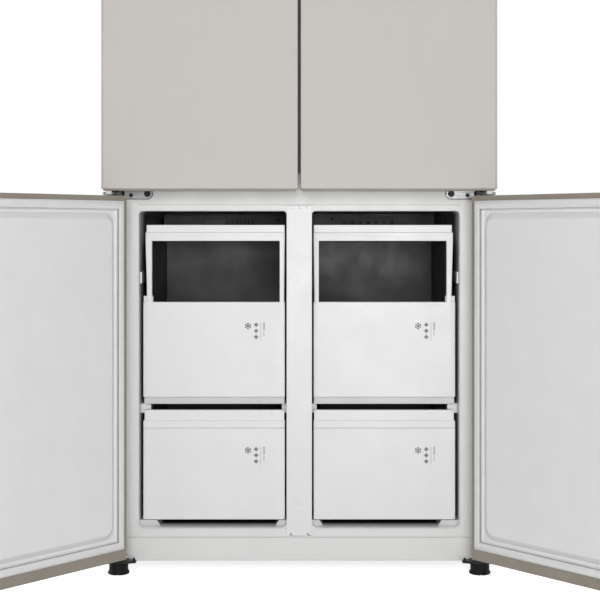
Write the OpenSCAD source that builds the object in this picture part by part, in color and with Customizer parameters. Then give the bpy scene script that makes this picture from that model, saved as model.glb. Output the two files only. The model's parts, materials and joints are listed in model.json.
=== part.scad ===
// Built-in refrigerator with two fresh-food doors above two freezer doors.
// X runs to the viewer's right, Y to the back and Z up; Z = 0 is the floor.
// Sizes below are measured from the front flange (Y = 0) and the middle (X = 0).
// The upper doors are drawn shut and the freezer doors open, at their stops.

/* [Cabinet] */
// Width of the cabinet over its side walls
cabinet_w = 830; // [800:1:900]
// Depth from the front flange to the rear panel
cabinet_d = 600; // [580:1:680]
// Insulation above the fresh-food compartment
roof_t = 40; // [36:0.5:60]
// Insulation behind the freezers
back_wall_t = 45; // [40:0.5:60]
// Thickness of the painted sheet steel
sheet_t = 1; // [0.8:0.1:1.4]
// Thickness of the moulded liners
liner_t = 1.5; // [1.2:0.1:2]
// Insulation between side wall and liner
side_wall_t = 70; // [68:0.5:84]
// Depth of the pressed plates on the stiles
plate_emboss = 0.6; // [0.3:0.1:0.9]
// Width and height of the pressed plates
plate_size = [17, 30]; // [10:1:40]
// From the side of the opening to a pressed plate
plate_offset = 7.5; // [5:0.5:12]
// Height of the pressed plates' centre above the freezer floor
plate_rise = 62.1; // [40:0.1:170]

/* [Freezer] */
// Height of the freezer floor
freezer_floor_z = 87.9; // [87:0.1:95]
// Clear height of the freezer compartments
freezer_h = 682; // [676:1:690]
// Half the width of the post between the freezers
post_half_w = 27.3; // [26:0.1:32]
// Corner radius of the freezer openings, top and bottom
opening_r = [8, 11]; // [5:1:14]
// Width of the flange above the freezer openings
top_strip_h = 12.9; // [11:0.1:15]
// Width of the lip below the freezer openings
lip_h = 18.7; // [18:0.1:22]
// How far the post's cover stands proud of the flange
cover_proud = 1.2; // [0.6:0.1:1.4]
// Wall between the freezer and the machine space
step_wall = 50; // [44:1:60]

/* [Fresh food] */
// Height of the crossbar between the compartments
crossbar_h = 67.7; // [60:0.1:80]
// Clear height of the fresh-food compartment
fridge_h = 980; // [860:1:1100]
// Insulation behind the fresh-food compartment
fridge_back_t = 55; // [45:0.5:70]
// Corner radius of the fresh-food opening
fridge_r = 14; // [8:1:20]
// Heights of the glass shelves' undersides above the floor of the compartment
shelf_rise = [214, 460, 714]; // [190:1:760]
// Thickness of the glass shelves
glass_t = 5; // [4:0.5:6]
// Front edge of the glass shelves
shelf_front_y = 106; // [100:1:160]
// Gap behind the glass shelves
shelf_back_gap = 33; // [20:1:60]
// Height of a crisper drawer
crisper_h = 178; // [150:1:185]

/* [Drawers] */
// Front face of the drawers behind the flange
drawer_y = 20; // [18:0.5:24]
// Thickness of a drawer front
front_t = 14; // [12:0.5:16]
// Wall of a front's moulding
front_wall = 3; // [2.5:0.1:4]
// Gap between a drawer front and the post
front_gap_in = 3.9; // [2:0.1:5]
// Gap between a drawer front and the side of the liner
front_gap_out = 7; // [3:0.1:9]
// Gap between the two drawer fronts
front_split = 12.1; // [6:0.1:14]
// Gap between the upper drawer's front and the freezer ceiling
front_top_gap = 29.9; // [20:0.1:40]
// Height of the upper drawer's solid panel
panel_h = 222; // [180:1:250]
// Height of the recessed band below the upper panel
panel_band_h = 16.2; // [12:0.1:20]
// Setback of recessed bands on the fronts
band_setback = 9; // [3:0.5:10]
// Height of the upper drawer's top bar
bar_h = 34.8; // [30:0.1:44]
// Height of that bar's lower, thicker part
bar_step_h = 18.6; // [16:0.1:26]
// Widths of a window's outer and inner post
window_post_w = [14, 11.3]; // [9:0.1:18]
// Height of the shoulder beside a post's foot
shoulder_h = 13; // [8:0.5:18]
// Gap between the lower drawer's front and the freezer floor
front_floor_gap = 13.9; // [9:0.1:16]
// Height of the lower drawer's front
lower_front_h = 237.1; // [210:0.1:260]
// Height of the lower front's stepped top lip
lip_step_h = 23.2; // [18:0.1:28]
// Height of the groove below that step
groove_drop = 39.5; // [30:0.1:45]
// Width and depth of the groove
groove_w = 1.6; // [1:0.1:2.4]
// Wall of a basket
basket_wall = 2.2; // [1.8:0.1:3]
// Gap behind the upper basket
upper_basket_gap = 8; // [4:1:40]
// Gap behind the lower basket
lower_basket_gap = 12; // [6:1:40]
// Upper basket's rim below the top bar
upper_rim_drop = 6.1; // [2:0.1:30]
// Lower basket's rim below its front's top
lower_rim_drop = 12.9; // [10:0.1:40]
// Clearance between a drawer and what it slides on
slide_gap = 0.3; // [0.2:0.05:0.5]

/* [Doors] */
// How far a door reaches past the cabinet's side
door_overhang = 1.5; // [0:0.5:2]
// Gap between the left and the right door
door_gap = 6; // [5:0.5:9]
// Thickness of a door
door_t = 63; // [60:0.5:66]
// Space between a door and the flange, for the gasket
gasket_space = 12; // [11:0.5:13]
// Radii of a door's upright edges, at the free edge and at the hinges
door_edge_r = [2.5, 7]; // [2:0.5:9]
// How far the upper doors reach above the cabinet's top
door_rise = 13; // [8:0.5:20]
// Top of the lower doors above the crossbar's underside
lower_door_lap = 18.2; // [14:0.1:24]
// Gap between the lower and the upper doors
door_split = 15; // [14:0.5:18]
// Heights of the upper door's end caps, bottom and top
upper_cap_h = [10.6, 30]; // [9:0.1:34]
// Heights of the lower door's end caps, bottom and top
lower_cap_h = [24, 10.6]; // [9:0.1:26]
// How far the upper door's bottom cap hangs below the skin
cap_drop = 4; // [3:0.5:5]
// Widths of the skin's returns beside the gasket, at the free edge and at the hinges
return_w = [4, 11.5]; // [3:0.5:12]
// Width of the gasket's base and of its bulb
gasket_w = [21.4, 12]; // [10:0.1:22]
// Height of the gasket's base
gasket_base_h = 5; // [4:0.5:6]
// Clearance between the gasket and what it seals on
gasket_gap = 0.4; // [0.3:0.1:0.8]
// Gap between a lower door's raised field and the flange
field_gap = 2.5; // [2:0.5:6]
// Width of that field's bevel
field_bevel = 12; // [8:0.5:16]
// How far the upper door's inner frame reaches into the cabinet
dyke_reach = 25; // [18:1:27]
// Wall of that inner frame
dyke_wall = 14; // [10:0.5:16]
// Undersides of the door bins above the floor of the compartment
bin_rise = [32, 338, 648]; // [26:1:760]
// Height of a door bin
bin_h = 112; // [90:1:130]
// How far the bins reach into the cabinet
bin_reach = 88; // [70:1:90]
// How far the doors open
open_angle = 130; // [120:1:132]
// Space under the freezer doors, above their bottom hinges
door_foot_gap = 5; // [3:0.5:6]

/* [Hinges] */
// Hinge axis in from the door's side and from its front
hinge_inset = [14.5, 24.9]; // [13:0.1:26]
// Radius of the hinge pins
pin_r = 5; // [4:0.5:6]
// Radial running clearance of pins and studs
run_gap = 0.06; // [0.03:0.01:0.09]
// Thickness of the middle hinge's arm
arm_t = 6; // [5:0.5:7]
// Radius of the arm's nose round the pin
nose_r = 14; // [11:0.5:14]
// Gap between the middle hinge's arm and the lower door
arm_gap = 2.5; // [2:0.1:3]
// How far the wall plate reaches below and above the lower door's top
wall_plate_h = [6.5, 18.5]; // [2:0.5:26]
// Thickness of the wall plate
wall_plate_t = 4; // [3:0.5:5]
// Length of the wall plate
wall_plate_l = 100; // [84:1:114]
// Radius of the hinge screws' heads
hinge_screw_r = 6; // [5:0.5:7]

/* [Feet] */
// Radius of a levelling foot where it meets the floor
foot_r = 23; // [18:0.2:24]
// Gap between a levelling foot and its bracket
foot_gap = 0.3; // [0.2:0.05:0.6]
// Place of a foot's middle: in from the cabinet's side, and behind the hinge axis
foot_in = [31.5, 11.5]; // [10:0.5:40]
// Radius of a foot's stud
stud_r = 5; // [4:0.5:6]
// Thickness of the bottom hinge bracket
bracket_t = 5; // [4:0.1:5.2]
// Radius of a rear roller
roller_r = 14; // [12:0.5:14]
// Width of a rear roller
roller_w = 22; // [16:1:26]
// Space above a rear roller
roller_space = 2; // [1:0.5:4]
// Place of a roller's middle: in from the cabinet's side and back
roller_in = [45, 60]; // [40:1:80]
// Radius of a roller's axle
axle_r = 4; // [3:0.5:5]

/* [Machine space] */
// Depth of the machine space
machine_d = 200; // [190:1:220]
// Radius of the compressor's housing
compressor_r = 74; // [60:1:80]
// Height of the compressor's housing
compressor_h = 176; // [150:1:190]
// Compressor's middle: in from the cabinet's side and from the machine space's front
compressor_in = [200, 98]; // [90:1:230]
// Diameter of the condenser's tube
coil_tube_d = 6; // [5:0.5:8]
// Height left free below and above the condenser's rows
coil_free_h = 90.5; // [86:0.5:110]
// Number of the condenser's rows
coil_rows = 8; // [4:2:8]
// Radius of the fans
fan_r = 55; // [45:1:60]
// Radius of the cord gland's bore
gland_r = 4; // [3:0.5:5]
// How far the cord gland stands out of the cover
gland_out = 12; // [8:1:16]

/* [Hidden] */
$fn = 48;
corner_steps = 5;
cut = 1;

cabinet_x = cabinet_w / 2;
inner_x = cabinet_x - side_wall_t;
liner_x = inner_x + liner_t;
post_x = post_half_w;
base_z = 2 * roller_r + roller_space;
bracket_z = base_z - bracket_t;
freezer_top_z = freezer_floor_z + freezer_h;
strip_top_z = freezer_top_z + top_strip_h;
lip_bottom_z = freezer_floor_z - lip_h;
crossbar_top_z = strip_top_z + crossbar_h;
fridge_floor_z = crossbar_top_z + liner_t;
fridge_top_z = fridge_floor_z + fridge_h;
cabinet_top_z = fridge_top_z + roof_t;
freezer_depth = cabinet_d - back_wall_t;
fridge_depth = cabinet_d - fridge_back_t;
machine_y = cabinet_d - machine_d;
step_y = machine_y - step_wall;
plate_z = freezer_floor_z + plate_rise;
shelf_z = [for (h = shelf_rise) fridge_floor_z + h];
shelf_y = [shelf_front_y, fridge_depth - shelf_back_gap];

front_x = [post_x + front_gap_in, inner_x - front_gap_out];
basket_y0 = drawer_y + front_t;
lower_front_z = [freezer_floor_z + front_floor_gap,
    freezer_floor_z + front_floor_gap + lower_front_h];
upper_front_z = [lower_front_z[1] + front_split, freezer_top_z - front_top_gap];
panel_top_z = upper_front_z[0] + panel_h;
bar_z = upper_front_z[1] - bar_h;
bar_step_z = bar_z + bar_step_h;
upper_basket_top = bar_z - upper_rim_drop;
lower_basket_top = lower_front_z[1] - lower_rim_drop;
upper_basket_in = [4, 4.8];
upper_basket_x = [front_x[0] + upper_basket_in[0], front_x[1] - upper_basket_in[1]];
lower_basket_in = [13.8, 20.8];
lower_basket_x = [front_x[0] + lower_basket_in[0], front_x[1] - lower_basket_in[1]];
rail_gap = [4, 0.5];
rail_top_z = upper_front_z[0] - rail_gap[1];
rail_bottom_z = lower_basket_top + rail_gap[0];
runner_gap = 1.8;
runner_top_z = lower_front_z[0] - runner_gap;
rail_rise = 10.5;
step_z = rail_top_z - rail_rise;
machine_top_z = step_z - step_wall;
duct_d = 55;
duct_y = freezer_depth - duct_d;
duct_wall = 3;
duct_gap = 6;
upper_basket_y = duct_y - upper_basket_gap;
lower_basket_y = step_y - lower_basket_gap;

door_x = [door_gap / 2, cabinet_x + door_overhang];
door_back_y = -gasket_space;
door_front_y = door_back_y - door_t;
lower_door_z = [base_z + door_foot_gap, strip_top_z + lower_door_lap];
upper_door_z = [lower_door_z[1] + door_split, cabinet_top_z + door_rise];
bin_z = [for (h = bin_rise) fridge_floor_z + h];
field_h = gasket_space - field_gap;
gasket_y = -cover_proud - gasket_gap;
bulb_in = 8.4;
gasket_x = [door_x[0] + return_w[0], door_x[1] - return_w[1]];
hinge_x = door_x[1] - hinge_inset[0];
hinge_y = door_front_y + hinge_inset[1];
bore_r = pin_r + run_gap;
pin_depth = [12, 8.5];
upper_pin_z = upper_door_z[0] - cap_drop + pin_depth[0];
lower_pin_z = lower_door_z[1] - pin_depth[1];
arm_z = lower_door_z[1] + arm_gap;
wall_plate_z = [lower_door_z[1] - wall_plate_h[0], lower_door_z[1] + wall_plate_h[1]];
plate_margin = 1;
wall_plate_x = cabinet_x - plate_margin - wall_plate_l;
foot_xy = [cabinet_x - foot_in[0], hinge_y + foot_in[1]];
foot_h = bracket_z - foot_gap;
roller_xy = [cabinet_x - roller_in[0], cabinet_d - roller_in[1]];
compressor_xy = [-cabinet_x + compressor_in[0], machine_y + compressor_in[1]];

rear_cover_t = 1.5;
back_y = cabinet_d + rear_cover_t + gland_out;
// Depth of a closed door's point once the door is open at its stop
function swung_y(p) = hinge_y + (p[0] - hinge_x) * sin(open_angle)
    + (p[1] - hinge_y) * cos(open_angle);
front_y = min(swung_y([door_x[0], door_back_y]),
    swung_y([gasket_x[0] + bulb_in, gasket_y]));
origin_y = (front_y + back_y) / 2;

door_paint = [0.80, 0.79, 0.76];
trim_brown = [0.50, 0.46, 0.41];
cabinet_paint = [0.82, 0.82, 0.82];
liner_white = [0.88, 0.88, 0.88];
gasket_grey = [0.80, 0.80, 0.80];
dark_plastic = [0.12, 0.12, 0.12];
duct_grey = [0.20, 0.20, 0.20];
hinge_steel = [0.62, 0.62, 0.62];
zinc_steel = [0.70, 0.71, 0.73];
foam_cream = [0.90, 0.84, 0.62];
clear_plastic = [0.80, 0.86, 0.90];
lamp_white = [0.95, 0.95, 0.90];

// Points of an arc
function arc(x, y, r, from, to) = [for (i = [0 : corner_steps])
    let (a = from + (to - from) * i / corner_steps) [x + r * cos(a), y + r * sin(a)]];

// Outline of a rectangle with one radius for its top corners and one for its bottom
function panel(x0, y0, x1, y1, top_r, bottom_r) = concat(
    arc(x1 - top_r, y1 - top_r, top_r, 0, 90),
    arc(x0 + top_r, y1 - top_r, top_r, 90, 180),
    arc(x0 + bottom_r, y0 + bottom_r, bottom_r, 180, 270),
    arc(x1 - bottom_r, y0 + bottom_r, bottom_r, 270, 360));

module block(low, high) {
    translate(low) cube(high - low);
}

// An upright outline, given as X and Z, thickened from y0 back to y1
module upright(y0, y1) {
    translate([0, y1, 0]) rotate([90, 0, 0]) linear_extrude(y1 - y0) children();
}

// A flat outline, given as X and Y, thickened from z0 up to z1
module flat(z0, z1) {
    translate([0, 0, z0]) linear_extrude(z1 - z0) children();
}

// A side outline, given as Y and Z, thickened from x0 to x1
module sideways(x0, x1) {
    translate([x0, 0, 0]) rotate([90, 0, 90]) linear_extrude(x1 - x0) children();
}

// A rod along Y
module rod_y(x, z, y0, y1, r) {
    translate([x, y0, z]) rotate([-90, 0, 0]) cylinder(h = y1 - y0, r = r);
}

// A rod along X
module rod_x(y, z, x0, x1, r) {
    translate([x0, y, z]) rotate([0, 90, 0]) cylinder(h = x1 - x0, r = r);
}

// A rod along Z
module rod_z(x, y, z0, z1, r) {
    translate([x, y, z0]) cylinder(h = z1 - z0, r = r);
}

// What is drawn on the right stays there for side 1 and is mirrored for side -1
module sided(side) {
    if (side < 0) mirror([1, 0, 0]) children();
    else children();
}

// A pair of like pieces, left and right
module both_sides() {
    sided(-1) children();
    sided(1) children();
}

// A right-hand freezer door's pieces, swung open round the hinge axis
module swung(side) {
    sided(side) translate([hinge_x, hinge_y, 0]) rotate([0, 0, open_angle])
        translate([-hinge_x, -hinge_y, 0]) children();
}

// Round tube along a list of points, with flat ends
function unit(v) = v / norm(v);
function heading(p, i) = unit(p[min(i + 1, len(p) - 1)] - p[max(i - 1, 0)]);
module tube(p, d, sides) {
    n = len(p);
    // The ring's first direction is kept square to the route from ring to ring
    start = abs(heading(p, 0)[2]) > 0.8 ? [1, 0, 0] : [0, 0, 1];
    side_of = [for (i = 0, s = unit(cross(heading(p, 0), start)); i < n;
        i = i + 1, s = i < n ? unit(s - (s * heading(p, i)) * heading(p, i)) : s) s];
    points = [for (i = [0 : n - 1]) let (s = side_of[i], u = cross(heading(p, i), s))
        for (k = [0 : sides - 1]) let (a = 360 * k / sides)
            p[i] + d / 2 * (cos(a) * s + sin(a) * u)];
    walls = [for (i = [0 : n - 2]) for (k = [0 : sides - 1]) let (m = (k + 1) % sides)
        [i * sides + k, (i + 1) * sides + k, (i + 1) * sides + m, i * sides + m]];
    ends = [[for (k = [0 : sides - 1]) k],
        [for (k = [0 : sides - 1]) n * sides - 1 - k]];
    polyhedron(points, concat(walls, ends));
}

// Rows of tube joined by half-turn bends, in an upright plane at depth y
function serpentine(x0, x1, z0, pitch, rows, y) = [for (i = [0 : rows - 1])
    let (turn = i % 2 == 0, xa = turn ? x0 : x1, xb = turn ? x1 : x0,
        z = z0 + i * pitch, out = turn ? 1 : -1, r = pitch / 2)
    for (q = concat([[xa, y, z], [xb, y, z]], i < rows - 1
        ? [for (a = [-60, -30, 0, 30, 60]) [xb + out * r * cos(a), y, z + r + r * sin(a)]]
        : [])) q];

// Cabinet

module cabinet_shell() color(cabinet_paint) {
    difference() {
        block([-cabinet_x, 0, base_z], [cabinet_x, cabinet_d, cabinet_top_z]);
        block([-cabinet_x + sheet_t, sheet_t, base_z - cut],
            [cabinet_x - sheet_t, cabinet_d + cut, cabinet_top_z - sheet_t]);
        upright(-cut, sheet_t + cut) {
            polygon(panel(-liner_x, freezer_floor_z - liner_t, liner_x,
                freezer_top_z + liner_t, opening_r[0] + liner_t, opening_r[1] + liner_t));
            polygon(panel(-liner_x, crossbar_top_z, liner_x, fridge_top_z + liner_t,
                fridge_r + liner_t, fridge_r + liner_t));
        }
        block([-liner_x, -cut, strip_top_z], [liner_x, sheet_t + cut, crossbar_top_z]);
        block([-cabinet_x - cut, -cut, base_z - cut],
            [cabinet_x + cut, sheet_t, lip_bottom_z]);
    }
    both_sides() upright(-plate_emboss, 0)
        polygon(panel(inner_x + plate_offset, plate_z - plate_size[1] / 2,
            inner_x + plate_offset + plate_size[0], plate_z + plate_size[1] / 2, 2, 2));
}

module rear_panel() color(cabinet_paint) {
    block([-cabinet_x + sheet_t, cabinet_d - sheet_t, machine_top_z],
        [cabinet_x - sheet_t, cabinet_d, cabinet_top_z - sheet_t]);
}

// The freezer's inside, made larger by grow on each wall but the front
module freezer_space(grow) {
    upright(grow > 0 ? cover_depth : -cut, step_y + grow)
        polygon(panel(post_x - grow, freezer_floor_z - grow, inner_x + grow,
            freezer_top_z + grow, opening_r[0] + grow, opening_r[1] + grow));
    upright(step_y, freezer_depth + grow)
        polygon(concat(
            arc(inner_x - opening_r[0], freezer_top_z - opening_r[0], opening_r[0] + grow, 0, 90),
            arc(post_x + opening_r[0], freezer_top_z - opening_r[0], opening_r[0] + grow, 90, 180),
            [[post_x - grow, step_z - grow], [inner_x + grow, step_z - grow]]));
}
cover_depth = 1;

module freezer_liners() color(liner_white) both_sides() {
    difference() {
        freezer_space(liner_t);
        freezer_space(0);
    }
}

module fridge_space(grow) {
    upright(grow > 0 ? sheet_t : -cut, fridge_depth + grow)
        polygon(panel(-inner_x - grow, fridge_floor_z - grow, inner_x + grow,
            fridge_top_z + grow, fridge_r + grow, fridge_r + grow));
}

shelf_rib = [9, 6];
rib_inset = 4;
module fridge_liner() color(liner_white) {
    difference() {
        fridge_space(liner_t);
        fridge_space(0);
    }
    both_sides() for (z = shelf_z)
        block([inner_x - shelf_rib[0], shelf_y[0] + rib_inset, z - shelf_rib[1]],
            [inner_x + liner_t / 2, shelf_y[1] - rib_inset, z]);
}

foam_front_y = 17;
module insulation_foam() color(foam_cream) {
    difference() {
        block([-cabinet_x + sheet_t, foam_front_y, base_z + tray_t],
            [cabinet_x - sheet_t, cabinet_d - sheet_t, cabinet_top_z - sheet_t]);
        fridge_space(liner_t);
        both_sides() freezer_space(liner_t);
        block([-cabinet_x, machine_y - tray_t, 0],
            [cabinet_x, cabinet_d, machine_top_z]);
    }
}

upper_post_d = 22;
upper_post_wall = 2;
module upper_post(inset) {
    flat(fridge_floor_z + (inset > 0 ? -cut : 0), fridge_top_z + (inset > 0 ? cut : 0))
        polygon(panel(-post_x + inset, -cover_proud + inset, post_x - inset,
            upper_post_d - inset, 3, 3));
}

// Cover over the front of the post between the freezers, with bevelled long edges
post_bevel = 1;
screw_seat_r = 2.8;
screw_seat_depth = 0.7;
screw_play = 0.3;
screw_sunk = 0.15;
top_screw_x = 16;
top_screw_drop = 5.4;
foot_screw_x = 18;
foot_screw_rise = 5.5;
post_screws = concat([for (i = [-1 : 1]) [i * top_screw_x, strip_top_z - top_screw_drop]],
    [for (i = [-1, 1]) [i * foot_screw_x, lip_bottom_z + foot_screw_rise]]);
post_lap = [1.5, 1];
module centre_posts() color(liner_white) {
    difference() {
        upper_post(0);
        upper_post(upper_post_wall);
    }
    difference() {
        union() {
            flat(freezer_floor_z - liner_t, freezer_top_z + liner_t)
                polygon([[-post_x, cover_depth], [-post_x, -cover_proud + post_bevel],
                    [-post_x + post_bevel, -cover_proud], [post_x - post_bevel, -cover_proud],
                    [post_x, -cover_proud + post_bevel], [post_x, cover_depth]]);
            block([-post_x, -cover_proud, lip_bottom_z + post_lap[0]],
                [post_x, 0, strip_top_z - post_lap[1]]);
            block([-post_x + liner_t, cover_depth / 2, freezer_floor_z],
                [post_x - liner_t, foam_front_y, freezer_top_z]);
        }
        for (s = post_screws)
            rod_y(s[0], s[1], -cover_proud - cut, -cover_proud + screw_seat_depth,
                screw_seat_r);
    }
}

duct_screw_r = 3.6;
duct_screw_h = 1.6;
cover_screw_r = 4;
cover_screw_h = 2.4;
module cabinet_screws() color(hinge_steel) {
    for (s = post_screws)
        rod_y(s[0], s[1], -cover_proud + screw_sunk, -cover_proud + screw_seat_depth,
            screw_seat_r - screw_play);
    for (s = duct_screws) rod_y(s[0], s[1], duct_y - duct_screw_h, duct_y, duct_screw_r);
    for (x = cover_screw_x) rod_y(x, cover_screw_z, cabinet_d + rear_cover_t,
        cabinet_d + rear_cover_t + cover_screw_h, cover_screw_r);
}

crossbar_fold = 14;
module crossbar() color(cabinet_paint) {
    difference() {
        block([-liner_x, 0, strip_top_z], [liner_x, crossbar_fold, crossbar_top_z]);
        block([-liner_x - cut, sheet_t, strip_top_z + sheet_t],
            [liner_x + cut, crossbar_fold + cut, crossbar_top_z - sheet_t]);
    }
}

leg_in = [43, 1];
notch_gap = 1.5;
toe_drop = 13;
toe_bottom_z = base_z - toe_drop;
toe_gap = 2.5;
toe_fold = 10;
notch_x = cabinet_x - leg_in[0] - notch_gap;
toe_lap = 4;
toe_set = 3;
strut_in = [24, 21];
strut_drop = 2;
module base_front_panel() color(cabinet_paint) {
    top = lip_bottom_z - toe_gap;
    difference() {
        union() {
            block([-cabinet_x, 0, toe_bottom_z], [cabinet_x, sheet_t, top]);
            block([-cabinet_x + sheet_t, 0, top - sheet_t],
                [cabinet_x - sheet_t, toe_fold, top]);
            // Tongue that laps behind the cabinet's sheet
            block([-cabinet_x + sheet_t, toe_set, top - sheet_t],
                [cabinet_x - sheet_t, toe_set + sheet_t, lip_bottom_z + toe_lap]);
        }
        both_sides() block([notch_x, -cut, toe_bottom_z - cut],
            [cabinet_x + cut, sheet_t + cut, base_z + notch_gap]);
    }
    // Struts that carry the panel on the base frame
    both_sides() block([notch_x - strut_in[0], sheet_t, base_z],
        [notch_x - strut_in[1], frame_front_y, top - strut_drop]);
}

frame_front_y = toe_fold + 2;
tray_t = 1.5;
air_slot_x = [60, 200, 320];
air_slot_in = [50, 70];
air_slot_y = [machine_y + air_slot_in[0], machine_y + air_slot_in[1]];
air_slot_w = 60;
roller_play = 0.4;
roller_side = roller_w / 2 + roller_play;
ear_t = 3;
ear_h = 26;
ear_w = 24;
module base_frame() color(zinc_steel) {
    difference() {
        block([-cabinet_x + sheet_t, frame_front_y, base_z],
            [cabinet_x - sheet_t, cabinet_d - sheet_t, base_z + tray_t]);
        for (x = air_slot_x) block([x - air_slot_w / 2, air_slot_y[0], base_z - cut],
            [x + air_slot_w / 2, air_slot_y[1], base_z + tray_t + cut]);
    }
    block([-cabinet_x + sheet_t, machine_y - tray_t, base_z + tray_t],
        [cabinet_x - sheet_t, machine_y, machine_top_z]);
    block([-cabinet_x + sheet_t, machine_y, machine_top_z - tray_t],
        [cabinet_x - sheet_t, cabinet_d - sheet_t, machine_top_z]);
    both_sides() for (x = [-roller_side - ear_t, roller_side])
        difference() {
            block([roller_xy[0] + x, roller_xy[1] - ear_w / 2, base_z - ear_h],
                [roller_xy[0] + x + ear_t, roller_xy[1] + ear_w / 2, base_z]);
            rod_x(roller_xy[1], roller_r, roller_xy[0] + x - cut,
                roller_xy[0] + x + ear_t + cut, axle_r + run_gap);
        }
}

// Hinges

plate_end_r = (wall_plate_z[1] - wall_plate_z[0]) / 2;
hinge_mid_z = (wall_plate_z[0] + wall_plate_z[1]) / 2;
hinge_screw_x = wall_plate_x + plate_end_r;
seat_depth = 1.2;
head_proud = 0.8;
head_play = 0.5;
drive_r = 2.6;
drive_depth = 1.2;
rivet_in = 17;
rivet_r = 5;
rivet_h = 2.4;
arm_flare = [-1.5, 9.5];
module middle_hinges() color(hinge_steel) both_sides() {
    plate_x = cabinet_x - plate_margin;
    difference() {
        upright(-wall_plate_t, 0) polygon(concat(
            [[plate_x, wall_plate_z[0]], [plate_x, wall_plate_z[1]]],
            arc(hinge_screw_x, wall_plate_z[1] - plate_end_r, plate_end_r, 90, 180),
            arc(hinge_screw_x, wall_plate_z[0] + plate_end_r, plate_end_r, 180, 270)));
        rod_y(hinge_screw_x, hinge_mid_z, -wall_plate_t - cut, -wall_plate_t + seat_depth,
            hinge_screw_r);
    }
    difference() {
        rod_y(hinge_screw_x, hinge_mid_z, -wall_plate_t - head_proud,
            -wall_plate_t + seat_depth, hinge_screw_r - head_play);
        rod_y(hinge_screw_x, hinge_mid_z, -wall_plate_t - head_proud - cut,
            -wall_plate_t - head_proud + drive_depth, drive_r);
    }
    rod_y(hinge_x - rivet_in, hinge_mid_z, -wall_plate_t - rivet_h, -wall_plate_t, rivet_r);
    flat(arm_z, arm_z + arm_t) {
        polygon(concat(arc(hinge_x, hinge_y, nose_r, -90, 0),
            [[hinge_x + nose_r + arm_flare[0], -wall_plate_t],
            [hinge_x - nose_r - arm_flare[1], -wall_plate_t]],
            arc(hinge_x, hinge_y, nose_r, 180, 270)));
    }
    rod_z(hinge_x, hinge_y, lower_pin_z, arm_z, pin_r);
    rod_z(hinge_x, hinge_y, arm_z + arm_t, upper_pin_z, pin_r);
}

top_arm_z = upper_door_z[1] + 2;
top_arm_t = 6;
top_pin_z = upper_door_z[1] - 18;
top_base_in = [2, 83];
top_base_y = [4, 96];
top_arm_in = 53;
module top_hinges() color(dark_plastic) both_sides() {
    block([cabinet_x - top_base_in[1], top_base_y[0], cabinet_top_z],
        [cabinet_x - top_base_in[0], top_base_y[1], top_arm_z + top_arm_t]);
    flat(top_arm_z, top_arm_z + top_arm_t)
        polygon(concat(arc(hinge_x, hinge_y, nose_r, -90, 0),
            [[cabinet_x - top_base_in[0], top_base_y[0] + 0.2],
            [cabinet_x - top_arm_in, top_base_y[0] + 0.2]],
            arc(hinge_x, hinge_y, nose_r, 180, 270)));
    rod_z(hinge_x, hinge_y, top_pin_z, top_arm_z, pin_r);
}

bottom_pin_z = lower_door_z[0] + 19;
leg_x = [cabinet_x - leg_in[0], cabinet_x - leg_in[1]];
leg_back_y = 40;
tip_in = [70, 50, 57];
tip_rise = [0, 10, 20, 26, 46];
stop_in = [64.5, 4];
stop_r = 2.6;
stop_h = 4;
collar_r = 9;
collar_gap = 0.3;
module bottom_hinges() color(dark_plastic) both_sides() {
    front = hinge_y - nose_r;
    stop_x = cabinet_x - stop_in[0];
    stop_y = hinge_y + stop_in[1];
    difference() {
        flat(bracket_z, base_z)
            polygon(concat(arc(hinge_x, hinge_y, nose_r, -90, 0),
                [[leg_x[1], 0], [leg_x[1], leg_back_y], [leg_x[0], leg_back_y],
                [leg_x[0], front + tip_rise[4]], [cabinet_x - tip_in[2], front + tip_rise[3]],
                [cabinet_x - tip_in[0], front + tip_rise[2]],
                [cabinet_x - tip_in[0], front + tip_rise[1]],
                [cabinet_x - tip_in[1], front + tip_rise[0]]]));
        rod_z(foot_xy[0], foot_xy[1], bracket_z - cut, base_z + cut, stud_r + run_gap);
    }
    // Stop screw at the bracket's tip, and the collar that the door stands on
    rod_z(stop_x, stop_y, bracket_z - stop_h / 2, base_z + stop_h, stop_r);
    rod_z(hinge_x, hinge_y, base_z, lower_door_z[0] - collar_gap, collar_r);
    rod_z(hinge_x, hinge_y, base_z, bottom_pin_z, pin_r);
}

// Levelling foot: a flared base under a stud that turns in the bracket
foot_edge = 1.5;
foot_rim_z = 3.5;
foot_waist = 2.8;
foot_waist_z = 8.5;
foot_notch = [3, 5, 2.4];
module front_foot(side) color(dark_plastic) sided(side) translate(foot_xy) difference() {
    waist_r = foot_r - foot_waist;
    rotate_extrude()
        polygon([[0, 0], [foot_r - foot_edge, 0], [foot_r, foot_edge], [foot_r, foot_rim_z],
            [waist_r, foot_waist_z], [waist_r, foot_h - foot_edge],
            [waist_r - foot_edge, foot_h], [stud_r, foot_h],
            [stud_r, base_z], [0, base_z]]);
    // Notch for the levelling key
    block([-foot_notch[0] / 2, -foot_r - cut, -cut],
        [foot_notch[0] / 2, -foot_r + foot_notch[1], foot_notch[2]]);
}

rim_hole_r = 2;
rim_hole_depth = 4;
rim_hole_in = 5;
module rear_roller(side) color(dark_plastic) sided(side) difference() {
    union() {
        rod_x(roller_xy[1], roller_r, roller_xy[0] - roller_w / 2,
            roller_xy[0] + roller_w / 2, roller_r);
        rod_x(roller_xy[1], roller_r, roller_xy[0] - roller_side - ear_t,
            roller_xy[0] + roller_side + ear_t, axle_r);
    }
    for (a = [0 : 60 : 300]) translate([0, roller_xy[1], roller_r]) rotate([a, 0, 0])
        rod_x(0, roller_r - rim_hole_in, roller_xy[0] + roller_w / 2 - rim_hole_depth,
            roller_xy[0] + roller_w / 2 + cut, rim_hole_r);
}

// Machine space

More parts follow.
